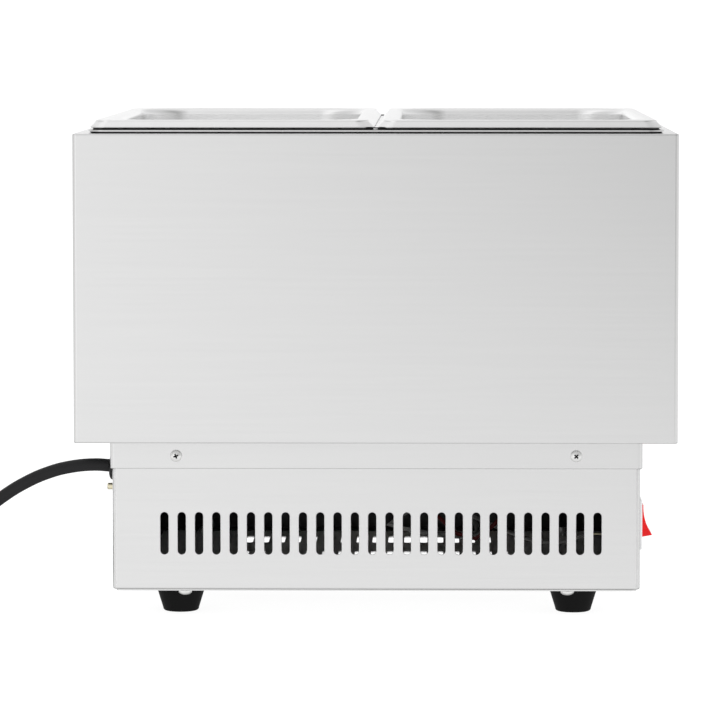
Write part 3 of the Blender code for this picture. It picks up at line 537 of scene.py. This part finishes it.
def build_cord():
    """One cord from the gland, through the coil, to the plug."""
    tail, end = centre_of("cord_tail"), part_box("cord_tail")[0].y
    route = [*CORD_ROUTE, *coil_points(centre_of("cord_coil"))]
    route += [(tail.x, end + back, tail.z) for back in (0.028, 0.018, 0.008, -0.002)]
    curve = bpy.data.curves.new("power_cord_fine", "CURVE")
    curve.dimensions = "3D"
    curve.bevel_depth = CORD_DIAMETER / 2
    curve.bevel_resolution = 5
    curve.resolution_u = 5
    curve.use_fill_caps = True
    spline = curve.splines.new("BEZIER")
    spline.bezier_points.add(len(route) - 1)
    for point, place in zip(spline.bezier_points, route):
        point.co = place
        point.handle_left_type = point.handle_right_type = "AUTO"
    curve.materials.append(CORD_JACKET)
    cord = new_object("power_cord_fine", curve)
    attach(cord, UNIT)
    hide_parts("power_cord", "cord_coil", "cord_tail")
    return cord


def build_tie():
    """A flat tie round the coil's turns, where all of them lie two by two."""
    inner, outer, top = 0.0369, 0.0543, 0.0172
    thickness, corner, width = 0.0005, 0.004, 0.0045
    middle, half_x, half_y = (inner + outer) / 2, (outer - inner) / 2, top / 2
    coil = centre_of("cord_coil")
    across = (Matrix.Translation((coil.x, coil.y, 0))
              @ Matrix.Rotation(math.radians(TIE_ANGLE), 4, "Z") @ plane((0, 0, 0), "Y"))
    rings = []
    for edge in (0.0, thickness):
        outline = rounded_rectangle(half_x - edge, half_y - edge, corner - edge)
        rings.append([(middle + x, half_y + y) for x, y in outline])
    band = extruded("cord_tie", rings, width, across)
    clasp = extruded("cord_tie_clasp", [rounded_rectangle(0.0036, 0.0014, 0.0006, 4)],
                     width + 0.001, across @ Matrix.Translation((middle, top + 0.0008, 0)))
    tie = bevel(combine(band, clasp, "UNION"), 0.0002, 2)
    return finished(tie, CORD_JACKET)


def build_plug():
    """The moulded plug: a soft body with grip ribs and a ridged strain relief."""
    low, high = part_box("plug_body")
    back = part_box("cord_tail")[0].y - 0.0003
    x, z = centre_of("plug_body").x, centre_of("cord_tail").z
    relief, ridges, ridge_pitch = 0.026, 5, 0.0045
    profile = [(0, 0), (0.0046, 0), (0.0050, -0.0006)]
    for i in range(ridges):
        start = -0.0025 - ridge_pitch * i
        foot = 0.0053 + 0.0005 * i
        top, groove = foot + 0.0005, foot - 0.0006
        profile += [(foot, start), (top, start - 0.0006), (top, start - 0.0026),
                    (groove, start - 0.0031), (groove, start - 0.0040)]
    profile += [(0.0078, -relief), (0.0078, -relief - 0.004), (0, -relief - 0.004)]
    sleeve = aim(turned("plug_sleeve", profile), (x, back, z), (0, 1, 0))
    body = box("plug_body_fine", (low.x, low.y, low.z), (high.x, back - relief, high.z))
    body = bevel(body, 0.004, 6)
    groove_pitch, groove_depth, groove_half = 0.0042, 0.0006, 0.0007
    for edge in (low.x, high.x):
        for i in range(5):
            y = low.y + 0.0085 + groove_pitch * i
            start = (edge - groove_depth, y - groove_half, low.z + 0.0045)
            end = (edge + groove_depth, y + groove_half, high.z - 0.0045)
            body = combine(body, box("grip_groove", start, end))
    return finished(combine(body, sleeve, "UNION"), PLASTIC, nodes=["plug_body"])


def build_plug_pins():
    """Two flat blades, and a round earth pin with a rounded nose."""
    pins = []
    for name in ("plug_blade_left", "plug_blade_right"):
        blade = bevel(box(name + "_fine", *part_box(name)), 0.0003, 3)
        pins.append(finished(blade, BRASS, nodes=[name]))
    low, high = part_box("plug_earth_pin")
    centre = centre_of("plug_earth_pin")
    radius, length = (high.x - low.x) / 2, high.y - low.y
    nose = [(radius * math.cos(a), -length + radius * 0.9 * (1 - math.sin(a)))
            for a in angles(15, 6)]
    pin = turned("plug_earth_pin_fine", [(0, 0), (radius, 0), *nose, (0, -length)])
    aim(pin, (centre.x, high.y, centre.z), (0, 1, 0))
    pins.append(finished(pin, BRASS, nodes=["plug_earth_pin"]))
    return pins


cord = build_cord()
build_tie()
build_plug()
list(build_plug_pins())


# ---------------------------------------- sheet-metal pieces
HEART = (0, 0, 0.06)            # inside the base
CORD_Y, CORD_Z = -0.130, 0.0934
SCREW_HOLE = 0.0023
SKIRT_SCREW_X, SKIRT_SCREW_Z = 0.1245, 0.1019
SKIRT_GAP = 0.0004              # between the base and the skirt round it

SLOT_WIDTH, SLOT_LENGTH, SLOT_PITCH = 0.00505, 0.0265, 0.0108
SLOT_COUNT, SLOT_CENTRE_X, SLOT_Z = 26, 0.003, 0.05315
VENT_COUNT, VENT_CENTRE_X = 18, 0.0016
VENT_ROWS_Y, VENT_LENGTH = (-0.060, 0.017, 0.094), 0.0325

WELL_X, WELL_Y = 0.1682, 0.1537     # half the tank's mouth
RIDGE = 0.0034                  # from the mouth out to the raised edge's outer side
RIDGE_HEIGHT = 0.0050           # above the tank's flange
PAN_LIP = 0.0042                # how far a pan's rim turns down


def fine(node, shape, material=None, body=UNIT):
    """Finishes a shape that stands for one CAD node, with the node's slot."""
    shape.name = node + "_fine"
    slot_name = MATERIAL_SLOT[node]
    return finished(shape, material or SLOT_MATERIALS[slot_name], body, [node])


def cut(sheet, outlines, place, depth=0.01):
    """Cuts flat outlines through a sheet. The depth reaches well past both of its sides."""
    return combine(sheet, extruded("cutter", outlines, depth, place))


def repaint(shape, material, chosen):
    """Gives one more material to the faces of a finished piece that the test chooses."""
    shape.data.materials.append(material)
    for face in shape.data.polygons:
        if chosen(face):
            face.material_index = len(shape.data.materials) - 1
    return shape


def repaint_inner_faces(shape, material=INNER_SHADE_STEEL):
    """Gives the faces that look towards the base's heart another material: by default a near-black
    painted shade for the inside of the base.
    """
    def looks_in(face):
        outward = (face.center - Vector(HEART)).normalized()
        return face.normal.dot(outward) < -0.15

    return repaint(shape, material, looks_in)


def highlight_slot_edges(shell, face_y):
    """Paints a bright highlight on the bevelled outer edge round each vent slot in the rear wall."""
    def on_edge(face):
        bevelled = 0.15 < -face.normal.y < 0.98
        outside = face.center.y < face_y + 0.0004
        return bevelled and outside and abs(face.center.z - SLOT_Z) < SLOT_LENGTH

    repaint(shell, SLOT_EDGE_HIGHLIGHT, on_edge)


def bend(radius, start, end, steps=6):
    """How far in and how far up each point of a sheet's bend is, angles in degrees."""
    leans = [math.radians(start + (end - start) * i / steps) for i in range(steps + 1)]
    return [(radius * (1 - math.cos(a)), radius * math.sin(a)) for a in leans]


def folded_wall(low, high, fold, corner, tightening, steps):
    """The levels of a wall whose lower and upper edges turn in with the fold's radius.

    The corner's radius shrinks round a fold, by the tightening for each metre inwards.
    """
    turns = [(low.z + fold, point) for point in bend(fold, -90, 0, steps)]
    turns += [(high.z - fold, point) for point in bend(fold, 0, 90, steps)]
    return [(high.x - inset, high.y - inset, corner - tightening * inset, level + rise)
            for level, (inset, rise) in turns]


def build_outer_casing():
    """Four walls with their top and bottom edges folded in."""
    low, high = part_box("outer_casing")
    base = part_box("base_shell")[1]
    base_gap, well_gap = 0.0022, 0.0028
    levels = [(base.x + base_gap, base.y + base_gap, 0.002, low.z)]
    levels += folded_wall(low, high, 0.0011, 0.0025, 1.0, 6)
    levels.append((WELL_X + well_gap, WELL_Y + well_gap, 0.006, high.z))
    fine("outer_casing", folded_sheet("casing", levels, SHEET))


def drill_skirt_screws(sheet):
    """Holes for the skirt's screws, through the front and the rear."""
    holes = [circle(x, SKIRT_SCREW_Z, SCREW_HOLE) for x in (-SKIRT_SCREW_X, SKIRT_SCREW_X)]
    return cut(sheet, holes, plane((0, 0, 0), "Y"), depth=0.4)


def build_casing_floor():
    """The frame under the casing, with the skirt that hangs over the base."""
    low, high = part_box("casing_floor")
    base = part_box("base_shell")[1]
    skirt_x, skirt_y = base.x + SKIRT_GAP + SHEET, base.y + SKIRT_GAP + SHEET
    burr, flare = 0.00004, 0.0008
    levels = [
        (skirt_x + burr, skirt_y + burr, 0.003, low.z),
        (skirt_x, skirt_y, 0.003, low.z + 2 * burr),
        (skirt_x, skirt_y, 0.003, high.z - flare),
        (skirt_x + flare, skirt_y + flare, 0.003, high.z),
        (high.x, high.y, 0.001, high.z),
    ]
    floor = drill_skirt_screws(folded_sheet("casing_floor_sheet", levels, SHEET))
    notch = slot(CORD_Y, CORD_Z - 0.010, 0.0125, 0.0330)
    floor = cut(floor, [notch], plane((-skirt_x, 0, 0), "X"))
    # The skirt's inner faces get the near-black painted shade.
    repaint_inner_faces(fine("casing_floor", floor))


def slot_row(count, centre, y, length):
    first = centre - SLOT_PITCH * (count - 1) / 2
    return [slot(first + SLOT_PITCH * i, y, SLOT_WIDTH, length) for i in range(count)]


def build_base_shell():
    """The base's walls, with the vent slots at the rear and a hole for each fitting."""
    low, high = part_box("base_shell")
    lower_flange, upper_flange = 0.0125, 0.0105
    levels = [(high.x - lower_flange, high.y - lower_flange, 0.002, low.z)]
    levels += folded_wall(low, high, 0.0013, 0.0028, 0.5, 5)
    levels.append((high.x - upper_flange, high.y - upper_flange, 0.002, high.z))
    shell = folded_sheet("base_sheet", levels, SHEET)
    slots = slot_row(SLOT_COUNT, SLOT_CENTRE_X, SLOT_Z, SLOT_LENGTH)
    shell = cut(shell, slots, plane((0, low.y, 0), "Y"))
    shell = drill_skirt_screws(bevel(shell, 0.00036, 2, 60))
    knob, earth, switch = (centre_of(n) for n in ("thermostat_knob", "earth_stud", "switch_housing"))
    lamps = [centre_of(node) for node in ("power_lamp", "heating_lamp")]
    front = [circle(knob.x, knob.z, 0.0045), *(circle(lamp.x, lamp.z, 0.0053) for lamp in lamps)]
    shell = cut(shell, front, plane((0, high.y, 0), "Y"))
    left = [circle(CORD_Y, CORD_Z, 0.0063), circle(earth.y, earth.z, 0.0025)]
    shell = cut(shell, left, plane((low.x, 0, 0), "X"))
    window = [(switch.y + y, switch.z + z) for y, z in rounded_rectangle(0.0112, 0.0143, 0.0003, 2)]
    shell = cut(shell, [window], plane((high.x, 0, 0), "X"))
    # The base's inner faces get the near-black painted shade.
    # The slots' bevelled outer edges get a painted highlight.
    highlight_slot_edges(repaint_inner_faces(fine("base_shell", shell)), low.y)


def build_bottom_plate():
    """A flat plate with three rows of vent slots."""
    low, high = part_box("bottom_plate")
    mid_height = plane((0, 0, (low.z + high.z) / 2), "Z")
    outline = rounded_rectangle(high.x, high.y, 0.004)
    plate = extruded("plate", [outline], high.z - low.z, mid_height)
    vents = []
    for y in VENT_ROWS_Y:
        vents += slot_row(VENT_COUNT, VENT_CENTRE_X, y, VENT_LENGTH)
    plate = cut(plate, vents, mid_height, depth=0.004)
    repaint_inner_faces(fine("bottom_plate", plate), PLATE_STEEL)


def build_water_tank():
    """The drawn well with its flange, and the raised edge that the pans' rims sit on."""
    low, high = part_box("water_tank")
    flange, well_floor = high.z - RIDGE_HEIGHT, low.z + SHEET
    ridge_x, ridge_y = WELL_X + RIDGE, WELL_Y + RIDGE
    levels = [
        (high.x, high.y, 0.010, flange),
        (ridge_x + 0.0003, ridge_y + 0.0003, 0.008, flange),
        (ridge_x, ridge_y, 0.008, high.z - 0.0005),
        (ridge_x - 0.0006, ridge_y - 0.0006, 0.008, high.z),
        (WELL_X + 0.0012, WELL_Y + 0.0012, 0.011, high.z),
        (WELL_X, WELL_Y, 0.012, high.z - 0.0012),
    ]
    bottom, taper = 0.010, 0.0015
    levels += [(WELL_X - taper - inset, WELL_Y - taper - inset, 0.018 - 0.6 * inset,
                well_floor + bottom - rise) for inset, rise in bend(bottom, 0, 90, 8)]
    tank = folded_sheet("tank", levels, SHEET, filled=True)
    gap = 0.0095                # half the break in the raised edge, for the divider bar's tab
    for sign in (-1, 1):
        near, far = sorted((sign * 0.150, sign * (ridge_y + 0.0006)))
        low_corner, high_corner = (-gap, near, flange - 0.0001), (gap, far, high.z + 0.01)
        tank = combine(tank, box("break", low_corner, high_corner))
    fine("water_tank", tank)


def build_pan(node, body):
    """A food pan: a turned-down lip, a broad flat rim and a smooth drawn body."""
    low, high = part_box(node)
    centre = centre_of(node)
    half_x, half_y = (high.x - low.x) / 2, (high.y - low.y) / 2
    opening_x, opening_y, corner = 0.075, 0.149, 0.030
    lip_slope, lip_fold, fold, bottom, taper = 0.0030, 0.0012, 0.004, 0.016, 0.003
    levels = [(half_x, half_y, 0.010, high.z - PAN_LIP)]
    levels += [(half_x - lip_slope - inset, half_y - lip_slope - inset, 0.009 - inset,
                high.z - lip_fold + rise) for inset, rise in bend(lip_fold, 0, 90, 5)]
    for a in angles(15, 7):
        outward = fold - fold * math.sin(a)
        levels.append((opening_x + outward, opening_y + outward, corner + outward,
                       high.z - fold + fold * math.cos(a)))
    levels += [(opening_x - taper - inset, opening_y - taper - inset,
                corner - 0.55 * (taper + inset), low.z + PAN_SHEET + bottom - rise)
               for inset, rise in bend(bottom, 0, 90, 9)]
    pan = folded_sheet("pan", levels, PAN_SHEET, (centre.x, centre.y), filled=True, steps=12)
    fine(node, pan, PAN_STEEL, body)


def build_gap_shade_strip():
    """A black strip on the tank's flange, under the pans' lips, against the raised edge. It is painted
    shade for the shadowed gap there, and no such seal is known on the object.
    """
    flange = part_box("water_tank")[1].z - RIDGE_HEIGHT
    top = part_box("pan_left")[1].z - PAN_LIP - 0.0003
    inner_x, inner_y = WELL_X + RIDGE + 0.0005, WELL_Y + RIDGE + 0.0005
    width, edge = 0.0030, 0.0003
    levels = [
        (inner_x + width, inner_y + width, 0.009, flange + 0.0001),
        (inner_x + width, inner_y + width, 0.009, top - edge),
        (inner_x + width - edge, inner_y + width - edge, 0.009, top),
        (inner_x, inner_y, 0.008, top),
    ]
    # The strip takes the black rubber only as painted shade for the gap.
    finished(folded_sheet("gap_shade_strip", levels, 0.0003), SILICONE)


def build_divider_bar():
    """The channel between the pans. A tab at each end rests on the tank's flange."""
    low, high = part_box("divider_bar")
    half, inner, half_length, tab = 0.0084, 0.0072, 0.1529, 0.0014
    web_top = high.z + PAN_SHEET - PAN_LIP - 0.0006
    channel = [(-half, low.z), (half, low.z), (half, high.z), (inner, high.z), (inner, web_top),
               (-inner, web_top), (-inner, high.z), (-half, high.z)]
    bar = extruded("bar", [channel], 2 * half_length, plane((0, 0, 0), "Y"))
    tabs = box("tabs", (-tab, low.y, low.z + 0.00005), (tab, high.y, web_top - 0.00005))
    fine("divider_bar", bevel(combine(bar, tabs, "UNION"), 0.0002, 2), PAN_STEEL)


# ---------------------------------------- fittings
PRINT_HEIGHT = 0.00006          # of the marks on the dial and the knob


def build_feet():
    """Rubber feet: a taper with a rounded lower edge, and a recess for the screw."""
    top, bottom, edge = 0.01575, 0.01135, 0.0018
    hole, recess, recess_top = 0.0028, 0.0060, 0.0062
    for name in corner_signs():
        node = "foot_" + name
        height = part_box(node)[1].z
        profile = [(hole, height), (top - 0.0004, height), (top, height - 0.0004),
                   *arc((bottom - edge, edge), edge, 0, -90, 8),
                   (recess, 0), (recess, recess_top), (hole, recess_top)]
        foot = turned("foot", profile, closed=True)
        foot.location = (centre_of(node).x, centre_of(node).y, 0)
        fine(node, foot)


# Each screw's head radius and height, and its shank's radius and length.
SKIRT_SCREW = (0.00365, 0.0024, 0.0020, 0.0100)
PLATE_SCREW = (0.0042, 0.0030, 0.0020, 0.0090)
FOOT_SCREW = (0.0050, 0.0030, 0.0025, 0.0175)


def dome_height(head_height, lean):
    """How high a screw's head is where its dome leans by this angle. The edge has a quarter."""
    return head_height * (0.25 + 0.75 * math.cos(lean))


def screw(head_radius, head_height, shank_radius, shank_length):
    """A pan-head screw with a tapered cross recess, standing on its head's underside."""
    profile = [(0, head_height)]
    profile += [(head_radius * math.sin(a), dome_height(head_height, a)) for a in angles(15, 7)[1:]]
    profile += [(head_radius, 0), (shank_radius, 0), (shank_radius, -shank_length),
                (0, -shank_length)]
    blank = turned("screw", profile, 36)
    reach, half = head_radius * 0.56, head_radius * 0.13
    for turn in (0, 90):
        blade = box("blade", (-reach, -half, head_height * 0.2), (reach, half, head_height * 1.3))
        for vertex in blade.data.vertices:
            if vertex.co.z < head_height * 0.5:
                vertex.co.x *= 0.35
        blade.rotation_euler = (0, 0, math.radians(turn))
        blank = combine(blank, blade)
    return blank


def paint_recess_shade(placed, head_radius, head_height):
    """Gives the faces below a screw head's dome, inside the cross, a near-black painted shade."""
    def sunk(face):
        out = face.center.xy.length / head_radius
        dome = dome_height(head_height, math.asin(min(1.0, out)))
        return out < 0.6 and 0 < face.center.z < dome - 0.12 * head_height

    repaint(placed, RECESS_SHADE, sunk)


def place_screw(node, sizes, direction, roll):
    """Puts a screw where its CAD node is, with its head towards a direction."""
    low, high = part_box(node)
    direction = Vector(direction)
    head_radius, head_height, _, shank_length = sizes
    length = abs((high - low).dot(direction))
    seat = centre_of(node) + direction * (shank_length - length / 2)
    placed = fine(node, aim(screw(*sizes), seat, direction, math.radians(roll)))
    paint_recess_shade(placed, head_radius, head_height)


def build_screws():
    """The three kinds of screw at each corner, each turned its own way."""
    for i, (name, (_, y)) in enumerate(corner_signs().items()):
        place_screw("skirt_screw_" + name, SKIRT_SCREW, (0, y, 0), 20 + 25 * i)
        place_screw("plate_screw_" + name, PLATE_SCREW, (0, 0, -1), 40 * i)
        place_screw("foot_screw_" + name, FOOT_SCREW, (0, 0, -1), 55 * i)


def build_switch():
    """The rocker switch: its bezel and body with a deep well."""
    low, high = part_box("switch_housing")
    centre = centre_of("switch_housing")
    y, z = centre.y, centre.z
    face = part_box("base_shell")[1].x + 0.0003
    half_y, half_z, wall, well_floor = 0.0108, 0.0139, 0.001, 0.152
    bezel = bevel(box("bezel", (face, low.y, low.z), high), 0.0009, 5)
    body = box("body", (low.x, y - half_y, z - half_z), (face + 0.001, y + half_y, z + half_z))
    well = box("well", (well_floor, y - half_y + wall, z - half_z + wall),
               (high.x + 0.01, y + half_y - wall, z + half_z - wall))
    housing = combine(combine(bezel, body, "UNION"), well)
    fine("switch_housing", bevel(housing, 0.0002, 2, 60))


ROCKER_PIVOT_X = 0.161
ROCKER_REST = math.radians(-16)


def build_rocker():
    """The red rocker, with a hollow face, tilted to one side."""
    centre = centre_of("switch_housing")
    tip_x, tip_z, hollow, width = 0.0106, 0.0101, 0.0017, 0.0188
    radius = (tip_z**2 + hollow**2) / (2 * hollow)
    spread = math.degrees(math.asin(tip_z / radius))
    outline = arc((tip_x - hollow + radius, 0), radius, 180 + spread, 180 - spread, 16)
    outline += [(0.000, 0.0090), (-0.004, 0.0052), (-0.004, -0.0052), (0.000, -0.0090)]
    rocker = bevel(extruded("rocker", [outline], width, plane((0, 0, 0), "Y")), 0.0006, 4)
    rocker.matrix_world = (Matrix.Translation((ROCKER_PIVOT_X, centre.y, centre.z))
                           @ Matrix.Rotation(ROCKER_REST, 4, "Y") @ plane((0, 0, 0), "Y"))
    fine("switch_rocker", rocker, body="rocker")


def build_gland():
    """The cord's gland: its collar, flat on top under the skirt, and its tapered sleeve inside."""
    low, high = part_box("cord_gland")
    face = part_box("base_shell")[0].x - 0.0003
    centre = centre_of("cord_gland")
    place = (face, centre.y, centre.z)
    bore = 0.0044
    collar = [(0.0058 + 0.0032 * math.sin(a), 0.0010 + 0.0020 * math.cos(a)) for a in angles(15, 7)]
    flange = turned("flange", [(bore, 0.0030), *collar, (0.0090, 0), (bore, 0)], closed=True)
    flange = aim(flange, place, (-1, 0, 0))
    skirt_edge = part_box("casing_floor")[0].z - 0.0003
    above = box("trim", (low.x - 0.01, low.y - 0.01, skirt_edge), (face + 0.01, high.y + 0.01, 0.12))
    flange = combine(flange, above)
    profile = [(bore, 0.0026), (0.0052, 0.0026), (0.0058, 0.0020), (0.0060, -0.0100),
               (0.0052, -0.0200), (bore, -0.0200)]
    sleeve = aim(turned("sleeve", profile, closed=True), place, (-1, 0, 0))
    fine("cord_gland", combine(sleeve, flange, "UNION"))


def front_view(x, y, z):
    """A flat frame on the front: x to the right as seen from there, y up and z outwards."""
    return Matrix.Translation((x, y, z)) @ Matrix.Rotation(math.pi, 4, "Z") @ plane((0, 0, 0), "Y")


def print_on_black(shape, body=UNIT):
    """Finishes a white mark or number on a black part."""
    finished(bake(shape), WHITE_PRINT, body)


DIAL_MARKS, DIAL_STEP = 10, 30      # one mark each 30 degrees, clockwise from the top
NUMBERED = 3                    # each third mark has its number, from 0 to 90
DIAL_BORE = 0.0045
MARK_HALF_WIDTH, MARK_START, MARK_END = 0.0004, 0.0237, 0.0254
NUMBER_SIZE, NUMBER_RADIUS = 0.0045, 0.0292


def build_dial():
    """The thermostat's dial plate, with marks and numbers printed round the knob."""
    low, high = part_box("dial_plate")
    centre = centre_of("dial_plate")
    thick, radius = high.y - low.y, (high.x - low.x) / 2
    profile = [(DIAL_BORE, thick), (radius - 0.0004, thick), (radius, thick - 0.0004), (radius, 0),
               (DIAL_BORE, 0)]
    back = front_view(centre.x, low.y, centre.z)
    dial = turned("dial", profile, 96, closed=True)
    dial.matrix_world = back
    fine("dial_plate", dial)
    face = back @ Matrix.Translation((0, 0, thick))
    for i in range(DIAL_MARKS):
        turn = Matrix.Rotation(math.radians(-DIAL_STEP * i), 4, "Z")
        mark = box(f"dial_mark_{i}", (-MARK_HALF_WIDTH, MARK_START, 0),
                   (MARK_HALF_WIDTH, MARK_END, PRINT_HEIGHT))
        mark.matrix_world = face @ turn
        print_on_black(mark)
        if i % NUMBERED == 0:
            label = str(10 * i)
            text = bpy.data.curves.new("dial_number_" + label, "FONT")
            text.body = label
            text.size = NUMBER_SIZE
            text.align_x = text.align_y = "CENTER"
            text.extrude = PRINT_HEIGHT / 2
            number = new_object(text.name, text)
            spot = Matrix.Translation((0, NUMBER_RADIUS, PRINT_HEIGHT / 2))
            number.matrix_world = face @ turn @ spot @ turn.inverted()
            print_on_black(number)


def build_knob():
    """The thermostat's knob: a skirt with a fine edge, an upright grip and a pointer line."""
    centre = centre_of("thermostat_knob")
    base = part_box("base_shell")[1].y
    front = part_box("thermostat_knob")[1].y - base
    place = front_view(centre.x, base, centre.z)
    profile = [(0, 0.0135), (0.0150, 0.0135), (0.0164, 0.0130), (0.0174, 0.0118), (0.0190, 0.0056),
               (0.0198, 0.0044), (0.0212, 0.0036), (0.0222, 0.0030), (0.0225, 0.0026), (0.0225, 0.0016),
               (0, 0.0016)]
    grip = bevel(box("grip", (-0.0055, -0.0165, 0.006), (0.0055, 0.0165, front)), 0.0018, 5)
    knob = combine(turned("knob", profile, 96), grip, "UNION")
    bore = turned("bore", [(0, 0.0124), (0.0034, 0.0124), (0.0034, 0), (0, 0)], 32)
    knob = combine(knob, bore)
    knob.matrix_world = place
    fine("thermostat_knob", knob, body="knob")
    line = box("knob_pointer", (-0.0006, 0.0040, front - 0.0002), (0.0006, 0.0143, front + PRINT_HEIGHT))
    line.matrix_world = place
    print_on_black(line, "knob")


def build_lamps():
    """Two lamps: a domed cap on a flat collar, and a body behind the front."""
    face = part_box("base_shell")[1].y + 0.0003
    dome = [(0.0058 * math.sin(a), 0.0016 + 0.0044 * math.cos(a)) for a in angles(10, 10)]
    profile = [*dome, (0.0062, 0.0012), (0.0068, 0.0010), (0.0070, 0.0007), (0.0070, 0),
               (0.0049, 0), (0.0049, -0.022), (0, -0.022)]
    for node in ("power_lamp", "heating_lamp"):
        centre = centre_of(node)
        fine(node, aim(turned("lamp", profile), (centre.x, face, centre.z), (0, 1, 0)))


def build_earth_stud():
    """A brass stud through the base's wall, with a chamfered tip."""
    centre = centre_of("earth_stud")
    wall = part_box("base_shell")[0].x
    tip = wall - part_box("earth_stud")[0].x
    profile = [(0, tip), (0.0016, tip), (0.0021, tip - 0.0004), (0.0021, -0.0090), (0, -0.0090)]
    fine("earth_stud", aim(turned("stud", profile), (wall, centre.y, centre.z), (-1, 0, 0)))


build_outer_casing()
build_casing_floor()
build_base_shell()
build_bottom_plate()
build_water_tank()
build_gap_shade_strip()
build_pan("pan_left", "left_food_pan")
build_pan("pan_right", "right_food_pan")
build_divider_bar()
build_feet()
build_screws()
build_switch()
build_rocker()
build_gland()
build_dial()
build_knob()
build_lamps()
build_earth_stud()


# ---------------------------------------- studio
FLOOR_REACH = 200.0             # each way, far wider than any view
FLOOR_GLOW = 0.92
SKY_LEVEL = 1.17


def add_floor():
    """A pale floor lit from below, as a product table is."""
    bm = bmesh.new()
    bmesh.ops.create_grid(bm, x_segments=1, y_segments=1, size=FLOOR_REACH)
    floor = mesh_object("studio_floor", bm)
    material, _, shader = new_material("studio_floor", (0.18, 0.18, 0.18), 0.9)
    shader.inputs["Specular IOR Level"].default_value = 0.1
    shader.inputs["Emission Color"].default_value = (1.0, 1.0, 1.0, 1.0)
    shader.inputs["Emission Strength"].default_value = FLOOR_GLOW
    floor.data.materials.append(material)
    floor.visible_glossy = False


def add_sky():
    """An even white surround, which lights the floor and fills the view behind it."""
    world = bpy.data.worlds.new("studio")
    world.use_nodes = True
    background = world.node_tree.nodes["Background"]
    background.inputs["Color"].default_value = (1.0, 1.0, 1.0, 1.0)
    background.inputs["Strength"].default_value = SKY_LEVEL
    bpy.context.scene.world = world


TENT_RADIUS = 2.2
# How bright the tent is by height, from straight below, -1, to straight above, 1. Its lower
# half stands for the lit floor.
NEAR_FLOOR = ((-1.0, 0.85), (-0.60, 0.86), (-0.40, 0.92), (-0.22, 1.02), (0.0, 1.07), (1.0, 1.07))
NEAR_WALL = ((-1.0, 1.00), (0.12, 1.00), (0.30, 0.86), (0.55, 0.76), (0.75, 0.76), (0.90, 0.80))
FAR_HEIGHTS = ((-1.0, 0.40), (-0.60, 0.46), (-0.30, 0.66), (-0.12, 0.88), (0.0, 1.10), (0.15, 1.12),
               (0.35, 0.92), (0.60, 0.78), (0.80, 0.78), (0.90, 0.80))
# The walls across the room, from -X to X: on the camera's side and behind the object.
NEAR_SIDES = ((-1.0, 0.72), (-0.68, 0.90), (-0.43, 1.28), (-0.18, 1.06), (0.14, 0.74), (0.39, 0.42),
              (0.68, 0.70), (1.0, 0.84))
FAR_SIDES = ((-1.0, 0.78), (-0.4, 1.05), (0.0, 1.0), (0.4, 0.84), (1.0, 0.84))


def stepped(tree, value, stops):
    """Straight runs between (position, level) stops, over positions from -1 to 1."""
    curve = tree.nodes.new("ShaderNodeFloatCurve")
    points = curve.mapping.curves[0].points
    while len(points) < len(stops):
        points.new(0.5, 0.5)
    for point, (position, level) in zip(points, stops):
        point.location = ((position + 1) / 2, level / 2)
        point.handle_type = "VECTOR"
    curve.mapping.update()
    tree.links.new(arithmetic(tree, "MULTIPLY_ADD", value, 0.5, 0.5), curve.inputs["Value"])
    return arithmetic(tree, "MULTIPLY", curve.outputs["Value"], 2.0)


def blended(tree, value, start, end, first, second):
    """Goes from the first to the second as the value goes from start to end."""
    factor = tree.nodes.new("ShaderNodeMapRange")
    factor.inputs["From Min"].default_value = start
    factor.inputs["From Max"].default_value = end
    tree.links.new(value, factor.inputs["Value"])
    mix = tree.nodes.new("ShaderNodeMix")
    tree.links.new(factor.outputs["Result"], mix.inputs["Factor"])
    tree.links.new(first, mix.inputs["A"])
    tree.links.new(second, mix.inputs["B"])
    return mix.outputs["Result"]


def arithmetic(tree, operation, *values):
    """A Math node, whose values are numbers or other nodes' outputs."""
    node = tree.nodes.new("ShaderNodeMath")
    node.operation = operation
    for socket, value in zip(node.inputs, values):
        if isinstance(value, float):
            socket.default_value = value
        else:
            tree.links.new(value, socket)
    return node.outputs["Value"]


def add_tent():
    """A lit tent round the object, seen only in the gloss, that gives the steel its gradients."""
    bm = bmesh.new()
    bmesh.ops.create_uvsphere(bm, u_segments=64, v_segments=48, radius=TENT_RADIUS)
    tent = mesh_object("studio_tent", bm)
    material = bpy.data.materials.new("studio_tent")
    material.use_nodes = True
    tree = material.node_tree
    tree.nodes.remove(tree.nodes["Principled BSDF"])
    place = tree.nodes.new("ShaderNodeTexCoord")
    parts = tree.nodes.new("ShaderNodeSeparateXYZ")
    tree.links.new(place.outputs["Object"], parts.inputs["Vector"])
    across, depth, height = (arithmetic(tree, "DIVIDE", parts.outputs[axis], TENT_RADIUS)
                             for axis in "XYZ")
    near_wall = arithmetic(tree, "MULTIPLY", stepped(tree, across, NEAR_SIDES),
                           stepped(tree, height, NEAR_WALL))
    near = blended(tree, height, -0.05, 0.03, stepped(tree, height, NEAR_FLOOR), near_wall)
    far = arithmetic(tree, "MULTIPLY", stepped(tree, across, FAR_SIDES),
                     stepped(tree, height, FAR_HEIGHTS))
    level = blended(tree, depth, -0.3, 0.4, near, far)
    glow = tree.nodes.new("ShaderNodeEmission")
    tree.links.new(level, glow.inputs["Strength"])
    tree.links.new(glow.outputs["Emission"], tree.nodes["Material Output"].inputs["Surface"])
    tent.data.materials.append(material)
    tent.visible_camera = tent.visible_diffuse = tent.visible_shadow = False
    tent.visible_transmission = tent.visible_volume_scatter = False


add_floor()
add_sky()
add_tent()
bpy.context.scene.view_settings.view_transform = "Standard"
